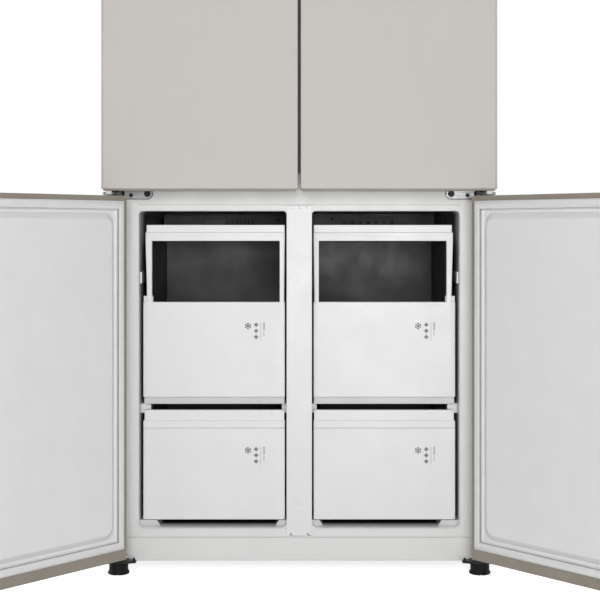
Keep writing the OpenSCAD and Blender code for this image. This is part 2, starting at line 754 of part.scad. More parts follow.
machine_floor_z = base_z + tray_t;
mount_h = 12;
mount_spread = [62, 48];
mount_hole_r = 5;
foot_plate_t = 3;
foot_plate_margin = 16;
belly_r = 14;
belly_z = 20;
dome_r = 34;
housing_seat = 4;
module compressor() color(dark_plastic) {
    z0 = machine_floor_z + mount_h;
    zp = z0 + foot_plate_t;
    translate([compressor_xy[0], compressor_xy[1], 0]) {
        rotate_extrude() polygon(concat([[0, zp + housing_seat]],
            [[compressor_r - belly_r - 2, zp + housing_seat]],
            arc(compressor_r - belly_r, zp + belly_z, belly_r, -60, 0),
            arc(compressor_r - dome_r, z0 + compressor_h - dome_r, dome_r, 0, 86),
            [[0, z0 + compressor_h + housing_seat]]));
        difference() {
            block([-mount_spread[0] - foot_plate_margin, -mount_spread[1] - foot_plate_margin,
                z0], [mount_spread[0] + foot_plate_margin, mount_spread[1]
                + foot_plate_margin, zp]);
            for (x = [-1, 1], y = [-1, 1])
                rod_z(x * mount_spread[0], y * mount_spread[1], z0 - cut, zp + cut,
                    mount_hole_r);
        }
        rod_z(0, 0, zp, zp + housing_seat + 1, compressor_r - belly_r - 6);
    }
}

mount_r = [11, 9];
mount_rim = [3, 2];
mount_stud = [4.5, 3];
module compressor_mounts() color(dark_plastic) {
    z0 = machine_floor_z;
    z1 = machine_floor_z + mount_h;
    translate([compressor_xy[0], compressor_xy[1], 0])
        for (x = [-1, 1], y = [-1, 1]) translate([x * mount_spread[0], y * mount_spread[1], 0])
            rotate_extrude() polygon([[0, z0], [mount_r[0], z0], [mount_r[0], z0 + mount_rim[0]],
                [mount_r[1], z0 + mount_rim[0] + 2], [mount_r[1], z1 - mount_rim[1] - 2],
                [mount_r[0], z1 - mount_rim[1]], [mount_r[0], z1], [mount_stud[0], z1],
                [mount_stud[0], z1 + foot_plate_t + mount_stud[1]],
                [0, z1 + foot_plate_t + mount_stud[1]]]);
}

coil_in = [297, 115];
coil_x = [cabinet_x - coil_in[0], cabinet_x - coil_in[1]];
coil_z = machine_floor_z + 30;
coil_y = machine_y + 60;
coil_step_y = 30;
coil_pitch = (machine_top_z - machine_floor_z - coil_free_h) / (coil_rows - 1);
coil_plate_in = 20;
coil_plate_t = 2;
coil_plate_d = 12;
coil_lap = 1;
drier_r = 9;
drier_out = [70, 10];
drier_x = [coil_x[0] - drier_out[0], coil_x[0] - drier_out[1]];
drier_pipe_r = 3;
drier_pipe_l = [20, 30];
drier_pipe_x = [drier_x[0] - drier_pipe_l[0], drier_x[1] + drier_pipe_l[1]];
drier_hanger_w = 8;
drier_hanger_x = [(drier_x[0] + drier_x[1] - drier_hanger_w) / 2,
    (drier_x[0] + drier_x[1] + drier_hanger_w) / 2];
drier_hanger_h = 33;
drier_hanger_d = 6;
module condenser_coil() color(dark_plastic) {
    coil_top_z = coil_z + (coil_rows - 1) * coil_pitch;
    drier_z = machine_top_z - tray_t - drier_hanger_h;
    drier_y = coil_y + coil_step_y / 2;
    for (y = [coil_y, coil_y + coil_step_y])
        tube(serpentine(coil_x[0], coil_x[1], coil_z, coil_pitch, coil_rows, y),
            coil_tube_d, 8);
    // Side plates that carry the rows
    for (x = [coil_x[0] + coil_plate_in, coil_x[1] - coil_plate_in - coil_plate_t])
        for (y = [coil_y, coil_y + coil_step_y])
            block([x, y + coil_tube_d / 2 - coil_lap, machine_floor_z],
                [x + coil_plate_t, y + coil_tube_d / 2 + coil_plate_d, coil_top_z
                + coil_tube_d]);
    // Drier above the rows, hung from the ceiling
    rod_x(drier_y, drier_z, drier_x[0], drier_x[1], drier_r);
    rod_x(drier_y, drier_z, drier_pipe_x[0], drier_pipe_x[1], drier_pipe_r);
    block([drier_hanger_x[0], drier_y - drier_hanger_d / 2, drier_z],
        [drier_hanger_x[1], drier_y + drier_hanger_d / 2, machine_top_z - tray_t]);
}

// Axial fan with flat twisted blades on a hub, turning about an axle along Y
hub_r = 14;
hub_lap = 3;
blade_twist = 28;
blade_t = 2;
blade_share = 0.26;
module fan(r, depth, blades) {
    rod_y(0, 0, 0, depth, hub_r);
    for (a = [0 : 360 / blades : 359]) rotate([0, a, 0])
        translate([0, depth / 2, 0]) rotate([0, 0, blade_twist])
            block([-r * blade_share, -blade_t / 2, hub_r - hub_lap],
                [r * blade_share, blade_t / 2, r]);
}

fan_blades = 5;
fan_out = 60;
fan_rise = 96;
fan_at = [coil_x[0] - fan_out, coil_y + coil_step_y / 2, machine_floor_z + fan_rise];
fan_depth = 18;
module condenser_fan() color(dark_plastic)
    translate([fan_at[0] + fan_depth / 2, fan_at[1], fan_at[2]]) rotate([0, 0, 90])
        fan(fan_r, fan_depth, fan_blades);

evaporator_fan_drop = 69.9;
evaporator_fan_in = 16;
evaporator_fan_at = [-(post_x + inner_x) / 2, duct_y + evaporator_fan_in,
    freezer_top_z - evaporator_fan_drop];
evaporator_fan_r = 44;
evaporator_fan_depth = 12;
module evaporator_fan() color(dark_plastic)
    translate([evaporator_fan_at[0], evaporator_fan_at[1] - evaporator_fan_depth / 2,
        evaporator_fan_at[2]]) fan(evaporator_fan_r, evaporator_fan_depth, fan_blades);

// Each fan's motor with the bracket that holds it
motor_gap = 0.3;
motor_r = [24, 22];
motor_l = 32;
motor_leg_x = [20, 24];
motor_leg_w = 24;
module fan_motors() color(duct_grey) {
    x0 = fan_at[0] + fan_depth / 2;
    rod_x(fan_at[1], fan_at[2], x0 + motor_gap, x0 + motor_l, motor_r[0]);
    block([x0 + motor_leg_x[0], fan_at[1] - motor_leg_w / 2, machine_floor_z],
        [x0 + motor_leg_x[1], fan_at[1] + motor_leg_w / 2, fan_at[2]]);
    rod_y(evaporator_fan_at[0], evaporator_fan_at[2],
        evaporator_fan_at[1] + evaporator_fan_depth / 2 + motor_gap, freezer_depth,
        motor_r[1]);
}

tray_gap = [17, 19];
tray_x = [compressor_xy[0] + mount_spread[0] + foot_plate_margin + tray_gap[0],
    fan_at[0] - fan_depth / 2 - tray_gap[1]];
tray_end_gap = [8, 20];
tray_y = [machine_y + tray_end_gap[0], cabinet_d - tray_end_gap[1]];
tray_h = 34;
tray_wall = 3;
tray_floor = 2;
module drip_tray() color(dark_plastic) difference() {
    block([tray_x[0], tray_y[0], machine_floor_z],
        [tray_x[1], tray_y[1], machine_floor_z + tray_h]);
    block([tray_x[0] + tray_wall, tray_y[0] + tray_wall, machine_floor_z + tray_floor],
        [tray_x[1] - tray_wall, tray_y[1] - tray_wall, machine_floor_z + tray_h + cut]);
}

cover_in = 11;
cover_x = cabinet_x - cover_in;
cover_lap = [4, 10];
cover_z = [base_z + cover_lap[0], machine_top_z + cover_lap[1]];
cover_screw_in = [14, 6];
cover_screw_x = [-cover_x + cover_screw_in[0], 0, cover_x - cover_screw_in[0]];
cover_screw_z = cover_z[1] - cover_screw_in[1];
vent_reach = 300;
vent_pitch = 24;
vent_w = 8;
vent_rise = [60, 180];
vent_z = [base_z + vent_rise[0], base_z + vent_rise[1]];
module rear_cover() color(cabinet_paint) difference() {
    block([-cover_x, cabinet_d, cover_z[0]], [cover_x, cabinet_d + rear_cover_t, cover_z[1]]);
    for (x = [-vent_reach : vent_pitch : vent_reach]) if (abs(x - gland_x) > vent_pitch)
        block([x - vent_w / 2, cabinet_d - cut, vent_z[0]],
            [x + vent_w / 2, cabinet_d + rear_cover_t + cut, vent_z[1]]);
    rod_y(gland_x, gland_z, cabinet_d - cut, cabinet_d + rear_cover_t + cut, gland_hole_r);
}

gland_in_x = 163;
gland_x = cabinet_x - gland_in_x;
gland_rise = 120;
gland_z = base_z + gland_rise;
gland_hole_r = 9;
gland_play = 0.1;
gland_in = 6;
gland_flange = [5, 3];
module cord_gland() color(dark_plastic) difference() {
    union() {
        rod_y(gland_x, gland_z, cabinet_d - gland_in, back_y, gland_hole_r - gland_play);
        rod_y(gland_x, gland_z, cabinet_d + rear_cover_t, cabinet_d + rear_cover_t
            + gland_flange[1], gland_hole_r + gland_flange[0]);
    }
    rod_y(gland_x, gland_z, cabinet_d - gland_in - cut, back_y + cut, gland_r);
}

// Cold air

fin_margin = 37;
fin_x = [-inner_x + fin_margin, -post_x - fin_margin];
fin_h = 140;
fin_fan_gap = 90;
fin_z = [evaporator_fan_at[2] - fin_fan_gap - fin_h, evaporator_fan_at[2] - fin_fan_gap];
fin_t = 1;
fin_count = 20;
evaporator_gap = 0.3;
evaporator_tube_d = 8;
evaporator_rows = 4;
evaporator_pitch = 34;
evaporator_first = 20;
evaporator_y = duct_y + 9;
module evaporator() color(zinc_steel) {
    notch = evaporator_tube_d + 2 * evaporator_gap;
    for (i = [0 : fin_count - 1]) {
        x = fin_x[0] + (fin_x[1] - fin_x[0]) * i / (fin_count - 1);
        difference() {
            block([x - fin_t / 2, evaporator_y, fin_z[0]],
                [x + fin_t / 2, freezer_depth - evaporator_gap, fin_z[1]]);
            for (k = [0 : evaporator_rows - 1])
                block([x - cut, evaporator_y - cut, fin_z[0] + evaporator_first
                    + evaporator_pitch * k - notch / 2], [x + cut, evaporator_y + notch,
                    fin_z[0] + evaporator_first + evaporator_pitch * k + notch / 2]);
        }
    }
    tube(serpentine(fin_x[0] - 6, fin_x[1] + 6, fin_z[0] + evaporator_first,
        evaporator_pitch, evaporator_rows, evaporator_y + evaporator_tube_d / 2),
        evaporator_tube_d, 8);
}

duct_x = [post_x + duct_gap + 1.3, inner_x - duct_gap];
duct_top_z = freezer_top_z - 6;
duct_r = [12, 9];
duct_screw_out = [26, 55];
duct_screw_drop = [10, 8];
duct_screws = [[-post_x - duct_screw_out[0], duct_top_z - duct_screw_drop[0]],
    [post_x + duct_screw_out[1], duct_top_z - duct_screw_drop[1]]];
module duct_pan(side) {
    sided(side) difference() {
        upright(duct_y, freezer_depth) polygon(panel(duct_x[0], step_z, duct_x[1],
            duct_top_z, duct_r[0], 2));
        upright(duct_y + duct_wall, freezer_depth + cut)
            polygon(panel(duct_x[0] + duct_wall, step_z - cut, duct_x[1] - duct_wall,
                duct_top_z - duct_wall, duct_r[1], 1));
    }
}

// A slot through a duct panel's front, given by its X range and its depths below the top
module duct_slot(x0, x1, drop0, drop1, depth) {
    block([x0, duct_y - cut, duct_top_z - drop0], [x1, duct_y + depth, duct_top_z - drop1]);
}

outlet_in = [102, 165];
outlet_x = [-inner_x + outlet_in[0], -inner_x + outlet_in[1]];
outlet_drop = [26, 8];
grille_gap = 12;
grille_x = outlet_x[1] + grille_gap;
grille_pitch = 9.4;
grille_slot_w = 5.5;
grille_slots = 6;
return_slot_in = 43;
return_slot_x = [-inner_x + return_slot_in, -post_x - return_slot_in];
return_slot_z = [step_z + 16, step_z + 40];
recess_in = [74.3, 102];
recess_x = [post_x + recess_in[0], inner_x - recess_in[1]];
recess_drop = [26, 6];
recess_d = 1.6;
vent_row_in = 7;
vent_row_x = recess_x[0] + vent_row_in;
vent_row_w = 10;
vent_row_drop = [22, 12];
vent_row_slots = 7;
vent_row_pitch = (recess_x[1] - recess_x[0] - 2 * vent_row_in - vent_row_w) / (vent_row_slots - 1);
module freezer_duct_panels() color(duct_grey) {
    difference() {
        duct_pan(-1);
        duct_slot(outlet_x[0], outlet_x[1], outlet_drop[0], outlet_drop[1], duct_wall + cut);
        for (i = [0 : grille_slots - 1]) let (x = grille_x + i * grille_pitch)
            duct_slot(x, x + grille_slot_w, outlet_drop[0] - 2, outlet_drop[1],
                duct_wall + cut);
        block([return_slot_x[0], duct_y - cut, return_slot_z[0]],
            [return_slot_x[1], duct_y + duct_wall + cut, return_slot_z[1]]);
    }
    difference() {
        duct_pan(1);
        duct_slot(recess_x[0], recess_x[1], recess_drop[0], recess_drop[1], recess_d);
        for (i = [0 : vent_row_slots - 1]) let (x = vent_row_x + i * vent_row_pitch)
            duct_slot(x, x + vent_row_w, vent_row_drop[0], vent_row_drop[1],
                duct_wall + cut);
    }
}

fridge_duct_x = 86;
fridge_duct_z = [shelf_z[0] + 12, fridge_top_z - 30];
fridge_duct_r = [10, 8];
fridge_vent_rise = 60;
fridge_vent_x = 50;
fridge_vent_h = 5;
fridge_vent_pitch = 12;
fridge_vents = 4;
module fridge_duct_panel() color(liner_white) difference() {
    y0 = shelf_y[1] + 3;
    upright(y0, fridge_depth) polygon(panel(-fridge_duct_x, fridge_duct_z[0],
        fridge_duct_x, fridge_duct_z[1], fridge_duct_r[0], fridge_duct_r[0]));
    upright(y0 + duct_wall, fridge_depth + cut)
        polygon(panel(-fridge_duct_x + duct_wall, fridge_duct_z[0] + duct_wall,
            fridge_duct_x - duct_wall, fridge_duct_z[1] - duct_wall, fridge_duct_r[1],
            fridge_duct_r[1]));
    for (shelf = shelf_z) for (i = [0 : fridge_vents - 1])
        let (z = shelf + fridge_vent_rise + i * fridge_vent_pitch)
            block([-fridge_vent_x, y0 - cut, z],
                [fridge_vent_x, y0 + duct_wall + cut, z + fridge_vent_h]);
}

lamp_size = [220, 70, 9];
lamp_y = 190;
lamp_r = 12;
module ceiling_lamp() color(lamp_white)
    translate([0, lamp_y, fridge_top_z - lamp_size[2]])
        flat(0, lamp_size[2]) polygon(panel(-lamp_size[0] / 2, -lamp_size[1] / 2,
            lamp_size[0] / 2, lamp_size[1] / 2, lamp_r, lamp_r));

glass_play = 3;
glass_r = [4, 6];
module glass_shelves() color(clear_plastic) for (z = shelf_z)
    flat(z, z + glass_t) polygon(panel(-inner_x + glass_play, shelf_y[0],
        inner_x - glass_play, shelf_y[1], glass_r[0], glass_r[1]));

crisper_gap = [6, 1];
crisper_x = [crisper_gap[0], inner_x - fridge_r - crisper_gap[1]];
crisper_in = [4, 7];
crisper_y = [shelf_y[0] + crisper_in[0], shelf_y[1] - crisper_in[1]];
crisper_wall = 2.5;
crisper_front = 4.5;
module crisper_drawers() color(clear_plastic) both_sides() difference() {
    block([crisper_x[0], crisper_y[0], fridge_floor_z], [crisper_x[1], crisper_y[1],
        fridge_floor_z + crisper_h]);
    block([crisper_x[0] + crisper_wall, crisper_y[0] + crisper_front,
        fridge_floor_z + crisper_wall], [crisper_x[1] - crisper_wall,
        crisper_y[1] - crisper_wall, fridge_floor_z + crisper_h + cut]);
}

control_size = [220, 110, 16];
control_back_y = cabinet_d - 20;
louvre_reach = 80;
louvre_pitch = 16;
louvre_w = 4;
louvre_d = 1;
louvre_z = [4, 11];
module control_box() color(dark_plastic) difference() {
    block([-control_size[0] / 2, control_back_y - control_size[1], cabinet_top_z],
        [control_size[0] / 2, control_back_y, cabinet_top_z + control_size[2]]);
    for (x = [-louvre_reach : louvre_pitch : louvre_reach])
        block([x - louvre_w / 2, control_back_y - louvre_d, cabinet_top_z + louvre_z[0]],
            [x + louvre_w / 2, control_back_y + cut, cabinet_top_z + louvre_z[1]]);
}

// Rails and runners in both freezers
rail_w = [10.8, 22];
rail_y = [basket_y0 + 8, duct_y - 10];
runner_w = [16.3, 36];
runner_slope = 8;
runner_y = [drawer_y + 4, step_y - 8];
guide_t = 3.6;
guide_rise = [40, 65];
module drawer_rails() color(liner_white) both_sides() {
    // The rails run on over the raised floor behind
    for (x = [[post_x, post_x + rail_w[0]], [inner_x - rail_w[1], inner_x]])
        sideways(x[0], x[1]) polygon([[rail_y[0], rail_bottom_z], [step_y, rail_bottom_z],
            [step_y, step_z], [rail_y[1], step_z], [rail_y[1], rail_top_z],
            [rail_y[0], rail_top_z]]);
    upright(runner_y[0], runner_y[1]) {
        polygon([[post_x + opening_r[1], freezer_floor_z],
            [post_x + runner_w[0] + runner_slope, freezer_floor_z],
            [post_x + runner_w[0], runner_top_z], [post_x + opening_r[1], runner_top_z]]);
        polygon([[inner_x - opening_r[1], freezer_floor_z],
            [inner_x - runner_w[1] - runner_slope, freezer_floor_z],
            [inner_x - runner_w[1], runner_top_z],
            [inner_x - opening_r[1], runner_top_z]]);
    }
    block([inner_x - guide_t, runner_y[0], panel_top_z + guide_rise[0]],
        [inner_x, rail_y[1], panel_top_z + guide_rise[1]]);
}

// Drawers

// A front's outline made into a hollow moulding that is open at the back
module moulding(y0, y1, x0, z0, x1, z1) {
    difference() {
        block([x0, y0, z0], [x1, y1, z1]);
        block([x0 + front_wall, y0 + front_wall, z0 + front_wall],
            [x1 - front_wall, y1 + cut, z1 - front_wall]);
    }
}

// A basket with an open top
module basket(x, y1, z0, z1, wall_top) {
    difference() {
        block([x[0], basket_y0, z0], [x[1], y1, z1]);
        block([x[0] + basket_wall, basket_y0 + basket_wall, z0 + basket_wall],
            [x[1] - basket_wall, y1 - basket_wall, z1 + cut]);
        block([x[0] - cut, basket_y0 - cut, wall_top], [x[1] + cut,
            basket_y0 + basket_wall + cut, z1 + cut]);
    }
}

// Front of an upper drawer: solid panel below, posts and a stepped bar round a window
bar_in = [4.8, 7.1];
bar_set = 2.5;
band_in = [0.4, 1.2];
outer_post_slope = 3.8;
inner_post_slope = 1;
shoulder_w = 21;
shoulder_set = 7;
module upper_front(side) color(liner_white) sided(side) {
    x0 = front_x[0];
    x1 = front_x[1];
    post_x1 = x1 - bar_in[0];
    moulding(drawer_y, basket_y0, x0, upper_front_z[0] + panel_band_h, x1, panel_top_z);
    moulding(drawer_y + band_setback, basket_y0, x0 + band_in[0], upper_front_z[0],
        x1 - band_in[1], upper_front_z[0] + panel_band_h);
    // Bar above the window, its upper band set back
    block([x0, drawer_y, bar_z], [post_x1, basket_y0, bar_step_z]);
    block([x0 + band_in[0], drawer_y + bar_set, bar_step_z], [x1 - bar_in[1], basket_y0,
        upper_front_z[1]]);
    // Window posts, the outer one sloping in towards its foot
    upright(drawer_y, basket_y0) {
        polygon([[post_x1, bar_z], [post_x1 - window_post_w[0], bar_z],
            [post_x1 - window_post_w[0], panel_top_z],
            [post_x1 - outer_post_slope, panel_top_z]]);
        polygon([[x0, bar_z], [x0 + window_post_w[1], bar_z],
            [x0 + window_post_w[1], panel_top_z], [x0 + inner_post_slope, panel_top_z]]);
    }
    // Shoulder beside the outer post's foot
    block([x1 - shoulder_w, drawer_y + shoulder_set, panel_top_z],
        [x1, basket_y0, panel_top_z + shoulder_h]);
}

module upper_basket(side) color(dark_plastic) sided(side)
    basket(upper_basket_x, upper_basket_y, rail_top_z + slide_gap, upper_basket_top,
        panel_top_z);

lip_set = 1.5;
lip_in = [1, 2.5];
module lower_front(side) color(liner_white) sided(side) {
    x0 = front_x[0];
    x1 = front_x[1];
    step = lower_front_z[1] - lip_step_h;
    groove = lower_front_z[1] - groove_drop;
    difference() {
        moulding(drawer_y, basket_y0, x0, lower_front_z[0], x1, step);
        block([x0 - cut, drawer_y - cut, groove - groove_w / 2], [x1 + cut,
            drawer_y + groove_w, groove + groove_w / 2]);
    }
    moulding(drawer_y + lip_set, basket_y0, x0 + lip_in[0], step, x1 - lip_in[1],
        lower_front_z[1]);
}

module lower_basket(side) color(dark_plastic) sided(side)
    basket(lower_basket_x, lower_basket_y, runner_top_z + slide_gap, lower_basket_top,
        lower_basket_top);

// Doors, drawn shut on the right

skin_t = 1;
fold_r = 1;
liner_play = 0.2;
// Both rounded front edges of a door, drawn in by inset
function front_edges(inset) = concat(
    arc(door_x[0] + door_edge_r[0], door_front_y + door_edge_r[0],
        door_edge_r[0] - inset, 180, 270),
    arc(door_x[1] - door_edge_r[1], door_front_y + door_edge_r[1],
        door_edge_r[1] - inset, 270, 360));

// A door's sheet skin: front, two sides and narrow returns at the back
module door_skin(z) {
    outer = concat(arc(door_x[1] - fold_r, door_back_y - fold_r, fold_r, 0, 90),
        arc(door_x[0] + fold_r, door_back_y - fold_r, fold_r, 90, 180),
        front_edges(0));
    inner = concat([[door_x[1] - skin_t, door_back_y - skin_t],
        [door_x[0] + skin_t, door_back_y - skin_t]], front_edges(skin_t));
    flat(z[0], z[1]) difference() {
        polygon(outer);
        polygon(inner);
        polygon([[gasket_x[0], door_back_y + cut], [gasket_x[1], door_back_y + cut],
            [gasket_x[1], door_back_y - 1.5 * skin_t],
            [gasket_x[0], door_back_y - 1.5 * skin_t]]);
    }
}

// An end cap fills the skin's end; the hinge pin turns in its bore
module door_cap(z0, z1, bore_z0, bore_z1) {
    difference() {
        union() {
            flat(z0, z1) polygon(concat([[door_x[1] - skin_t, door_back_y - skin_t],
                [door_x[0] + skin_t, door_back_y - skin_t]], front_edges(skin_t)));
            block([gasket_x[0] + liner_play, door_back_y - 2 * skin_t, z0],
                [gasket_x[1] - liner_play, door_back_y, z1]);
        }
        rod_z(hinge_x, hinge_y, bore_z0, bore_z1, bore_r);
    }
}

// Sheet liner between the returns and the end caps
module door_back(z0, z1) {
    block([gasket_x[0] + liner_play, door_back_y - liner_t, z0],
        [gasket_x[1] - liner_play, door_back_y, z1]);
}

module ring(x0, z0, x1, z1, w, r, y0, y1) {
    upright(y0, y1) difference() {
        polygon(panel(x0, z0, x1, z1, r, r));
        polygon(panel(x0 + w, z0 + w, x1 - w, z1 - w, max(r - w, 1), max(r - w, 1)));
    }
}

gasket_corner_r = 6;
gasket_play = 0.3;
module door_gasket(z0, z1) {
    ring(gasket_x[0] + gasket_play, z0, gasket_x[1] - gasket_play, z1, gasket_w[0],
        gasket_corner_r,
        door_back_y, door_back_y + gasket_base_h);
    ring(gasket_x[0] + bulb_in, z0 + bulb_in, gasket_x[1] - bulb_in, z1 - bulb_in,
        gasket_w[1], gasket_corner_r, door_back_y + gasket_base_h - 1, gasket_y);
}

module upper_door_skin(side) color(door_paint) sided(side) door_skin(upper_door_z);

// Free space beyond a pin's end in its bore
pin_end_gap = 0.8;
apron_in = 4;
apron_back = 2;
module upper_door_caps(side) color(trim_brown) sided(side) {
    door_cap(upper_door_z[0], upper_door_z[0] + upper_cap_h[0], upper_door_z[0] - cut,
        upper_pin_z + pin_end_gap);
    // The bottom cap's apron, set back from the skin
    difference() {
        block([door_x[0] + apron_in, door_front_y + apron_in, upper_door_z[0] - cap_drop],
            [door_x[1] - apron_in, door_back_y - apron_back, upper_door_z[0]]);
        rod_z(hinge_x, hinge_y, upper_door_z[0] - cap_drop - cut, upper_door_z[0] + cut,
            bore_r);
    }
    door_cap(upper_door_z[1] - upper_cap_h[1], upper_door_z[1],
        top_pin_z - pin_end_gap,
        upper_door_z[1] + cut);
}

dyke_in = [11.3, 6];
dyke_x = [post_x + dyke_in[0], inner_x - dyke_in[1]];
dyke_z = [fridge_floor_z + 8, fridge_top_z - 12];
dyke_r = 16;
module upper_door_liner(side) color(liner_white) sided(side) {
    door_back(upper_door_z[0] + upper_cap_h[0], upper_door_z[1] - upper_cap_h[1]);
    ring(dyke_x[0], dyke_z[0], dyke_x[1], dyke_z[1], dyke_wall, dyke_r,
        door_back_y - liner_t / 3, dyke_reach);
}

module upper_door_gasket(side) color(gasket_grey) sided(side)
    door_gasket(upper_door_z[0] + upper_cap_h[0], upper_door_z[1] - upper_cap_h[1]);

bin_gap = [10, 4];
bin_x = [dyke_x[0] + dyke_wall + bin_gap[0], dyke_x[1] - dyke_wall - bin_gap[1]];
bin_wall = 2.5;
module door_bins(side) color(clear_plastic) sided(side) for (z = bin_z) difference() {
    block([bin_x[0], door_back_y, z], [bin_x[1], bin_reach, z + bin_h]);
    block([bin_x[0] + bin_wall, door_back_y + bin_wall, z + bin_wall],
        [bin_x[1] - bin_wall, bin_reach - bin_wall, z + bin_h + cut]);
}

module lower_door_skin(side) color(door_paint) swung(side) door_skin(lower_door_z);

module lower_door_caps(side) color(trim_brown) swung(side) {
    door_cap(lower_door_z[0], lower_door_z[0] + lower_cap_h[0], lower_door_z[0] - cut,
        bottom_pin_z + pin_end_gap);
    door_cap(lower_door_z[1] - lower_cap_h[1], lower_door_z[1],
        lower_pin_z - pin_end_gap,
        lower_door_z[1] + cut);
}

// Liner with a raised, bevelled field inside the gasket
groove_in = 5;
field_r = 22;
field_top_r = 18;
module lower_door_liner(side) color(liner_white) swung(side) {
    z0 = lower_door_z[0] + lower_cap_h[0];
    z1 = lower_door_z[1] - lower_cap_h[1];
    x0 = gasket_x[0] + gasket_w[0] + groove_in;
    x1 = gasket_x[1] - gasket_w[0] - groove_in;
    door_back(z0, z1);
    hull() {
        upright(door_back_y - liner_t / 3, door_back_y + 1) polygon(panel(x0, z0 + gasket_w[0]
            + groove_in, x1, z1 - gasket_w[0] - groove_in, field_r, field_r));
        upright(door_back_y + field_h - 1, door_back_y + field_h)
            polygon(panel(x0 + field_bevel, z0 + gasket_w[0] + groove_in + field_bevel,
                x1 - field_bevel, z1 - gasket_w[0] - groove_in - field_bevel,
                field_top_r, field_top_r));
    }
}

module lower_door_gasket(side) color(gasket_grey) swung(side)
    door_gasket(lower_door_z[0] + lower_cap_h[0], lower_door_z[1] - lower_cap_h[1]);

// Puts the origin under the middle of the whole object
module placed() {
    translate([0, -origin_y, 0]) children();
}

placed() cabinet_shell();
placed() rear_panel();
placed() insulation_foam();
placed() fridge_liner();
placed() freezer_liners();
placed() centre_posts();
placed() crossbar();
placed() base_front_panel();
placed() base_frame();
placed() middle_hinges();
placed() top_hinges();
placed() bottom_hinges();
placed() compressor();
placed() compressor_mounts();
placed() condenser_coil();
placed() condenser_fan();
placed() fan_motors();
placed() drip_tray();
placed() rear_cover();
placed() cord_gland();
placed() evaporator();
placed() evaporator_fan();
placed() freezer_duct_panels();
placed() fridge_duct_panel();
placed() ceiling_lamp();
placed() glass_shelves();
placed() crisper_drawers();
placed() drawer_rails();
placed() cabinet_screws();
placed() control_box();
placed() front_foot(-1);  // front_foot_left
placed() front_foot(1);  // front_foot_right
placed() rear_roller(-1);  // rear_roller_left
placed() rear_roller(1);  // rear_roller_right
placed() upper_door_skin(-1);  // upper_door_skin_left
placed() upper_door_caps(-1);  // upper_door_caps_left
placed() upper_door_liner(-1);  // upper_door_liner_left
placed() upper_door_gasket(-1);  // upper_door_gasket_left
placed() door_bins(-1);  // door_bins_left
placed() upper_door_skin(1);  // upper_door_skin_right
placed() upper_door_caps(1);  // upper_door_caps_right
placed() upper_door_liner(1);  // upper_door_liner_right
placed() upper_door_gasket(1);  // upper_door_gasket_right
placed() door_bins(1);  // door_bins_right
placed() lower_door_skin(-1);  // lower_door_skin_left
placed() lower_door_caps(-1);  // lower_door_caps_left
placed() lower_door_liner(-1);  // lower_door_liner_left
placed() lower_door_gasket(-1);  // lower_door_gasket_left
placed() lower_door_skin(1);  // lower_door_skin_right
placed() lower_door_caps(1);  // lower_door_caps_right
placed() lower_door_liner(1);  // lower_door_liner_right
placed() lower_door_gasket(1);  // lower_door_gasket_right
placed() upper_front(-1);  // upper_front_left
placed() upper_basket(-1);  // upper_basket_left
placed() upper_front(1);  // upper_front_right
placed() upper_basket(1);  // upper_basket_right
placed() lower_front(-1);  // lower_front_left
placed() lower_basket(-1);  // lower_basket_left
placed() lower_front(1);  // lower_front_right
placed() lower_basket(1);  // lower_basket_right
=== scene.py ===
"""Looks, studio and camera of a built-in refrigerator with four doors.

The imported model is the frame. Each sub-assembly below dresses its own solids, adds the
pieces that are too fine for the solids, and lets every piece ride on its body. Sizes are
in millimetres as the part is drawn: X across, Y back from the front flange, Z up from
the floor. The right half is drawn and the left half mirrored.
"""
import json
import logging
import math
from collections.abc import Callable, Mapping, Sequence
from dataclasses import dataclass, field, replace
from enum import Enum

import bmesh
import bpy
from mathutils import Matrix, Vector

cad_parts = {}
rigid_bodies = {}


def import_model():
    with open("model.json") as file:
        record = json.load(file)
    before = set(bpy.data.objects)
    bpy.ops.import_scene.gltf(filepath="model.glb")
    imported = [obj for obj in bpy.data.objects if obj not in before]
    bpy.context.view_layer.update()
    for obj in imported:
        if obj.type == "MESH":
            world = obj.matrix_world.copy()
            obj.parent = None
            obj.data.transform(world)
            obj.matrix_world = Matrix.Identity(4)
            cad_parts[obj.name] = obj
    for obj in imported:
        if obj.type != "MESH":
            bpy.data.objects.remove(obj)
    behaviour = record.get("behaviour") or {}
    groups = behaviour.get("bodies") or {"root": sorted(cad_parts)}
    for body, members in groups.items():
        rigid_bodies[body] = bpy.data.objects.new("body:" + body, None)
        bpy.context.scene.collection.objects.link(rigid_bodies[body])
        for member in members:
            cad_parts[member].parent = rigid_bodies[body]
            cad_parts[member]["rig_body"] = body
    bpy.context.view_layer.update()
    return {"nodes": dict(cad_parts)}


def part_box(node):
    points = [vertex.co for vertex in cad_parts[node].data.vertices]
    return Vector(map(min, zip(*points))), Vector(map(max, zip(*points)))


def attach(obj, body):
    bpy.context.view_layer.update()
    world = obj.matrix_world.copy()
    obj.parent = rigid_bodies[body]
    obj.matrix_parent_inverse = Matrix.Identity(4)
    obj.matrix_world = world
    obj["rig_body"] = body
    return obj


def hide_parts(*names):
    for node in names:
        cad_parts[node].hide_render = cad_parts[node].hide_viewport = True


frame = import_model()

LOG = logging.getLogger("refrigerator")
MM = 0.001
# Back of the machine space's cover in the drawing. The frame tells where it stands.
REAR_FACE = 601.5
FLANGE_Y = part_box("rear_cover")[1][1] - REAR_FACE * MM
# How a copied solid is cleaned, in millimetres and degrees, and how forms are rounded.
WELD = 0.002
FLAT_ANGLE = 0.6
FOLD_ANGLE = 25.0
ROUND_STEPS = 40
FINE_EDGE = 0.4
EDGE = 0.6

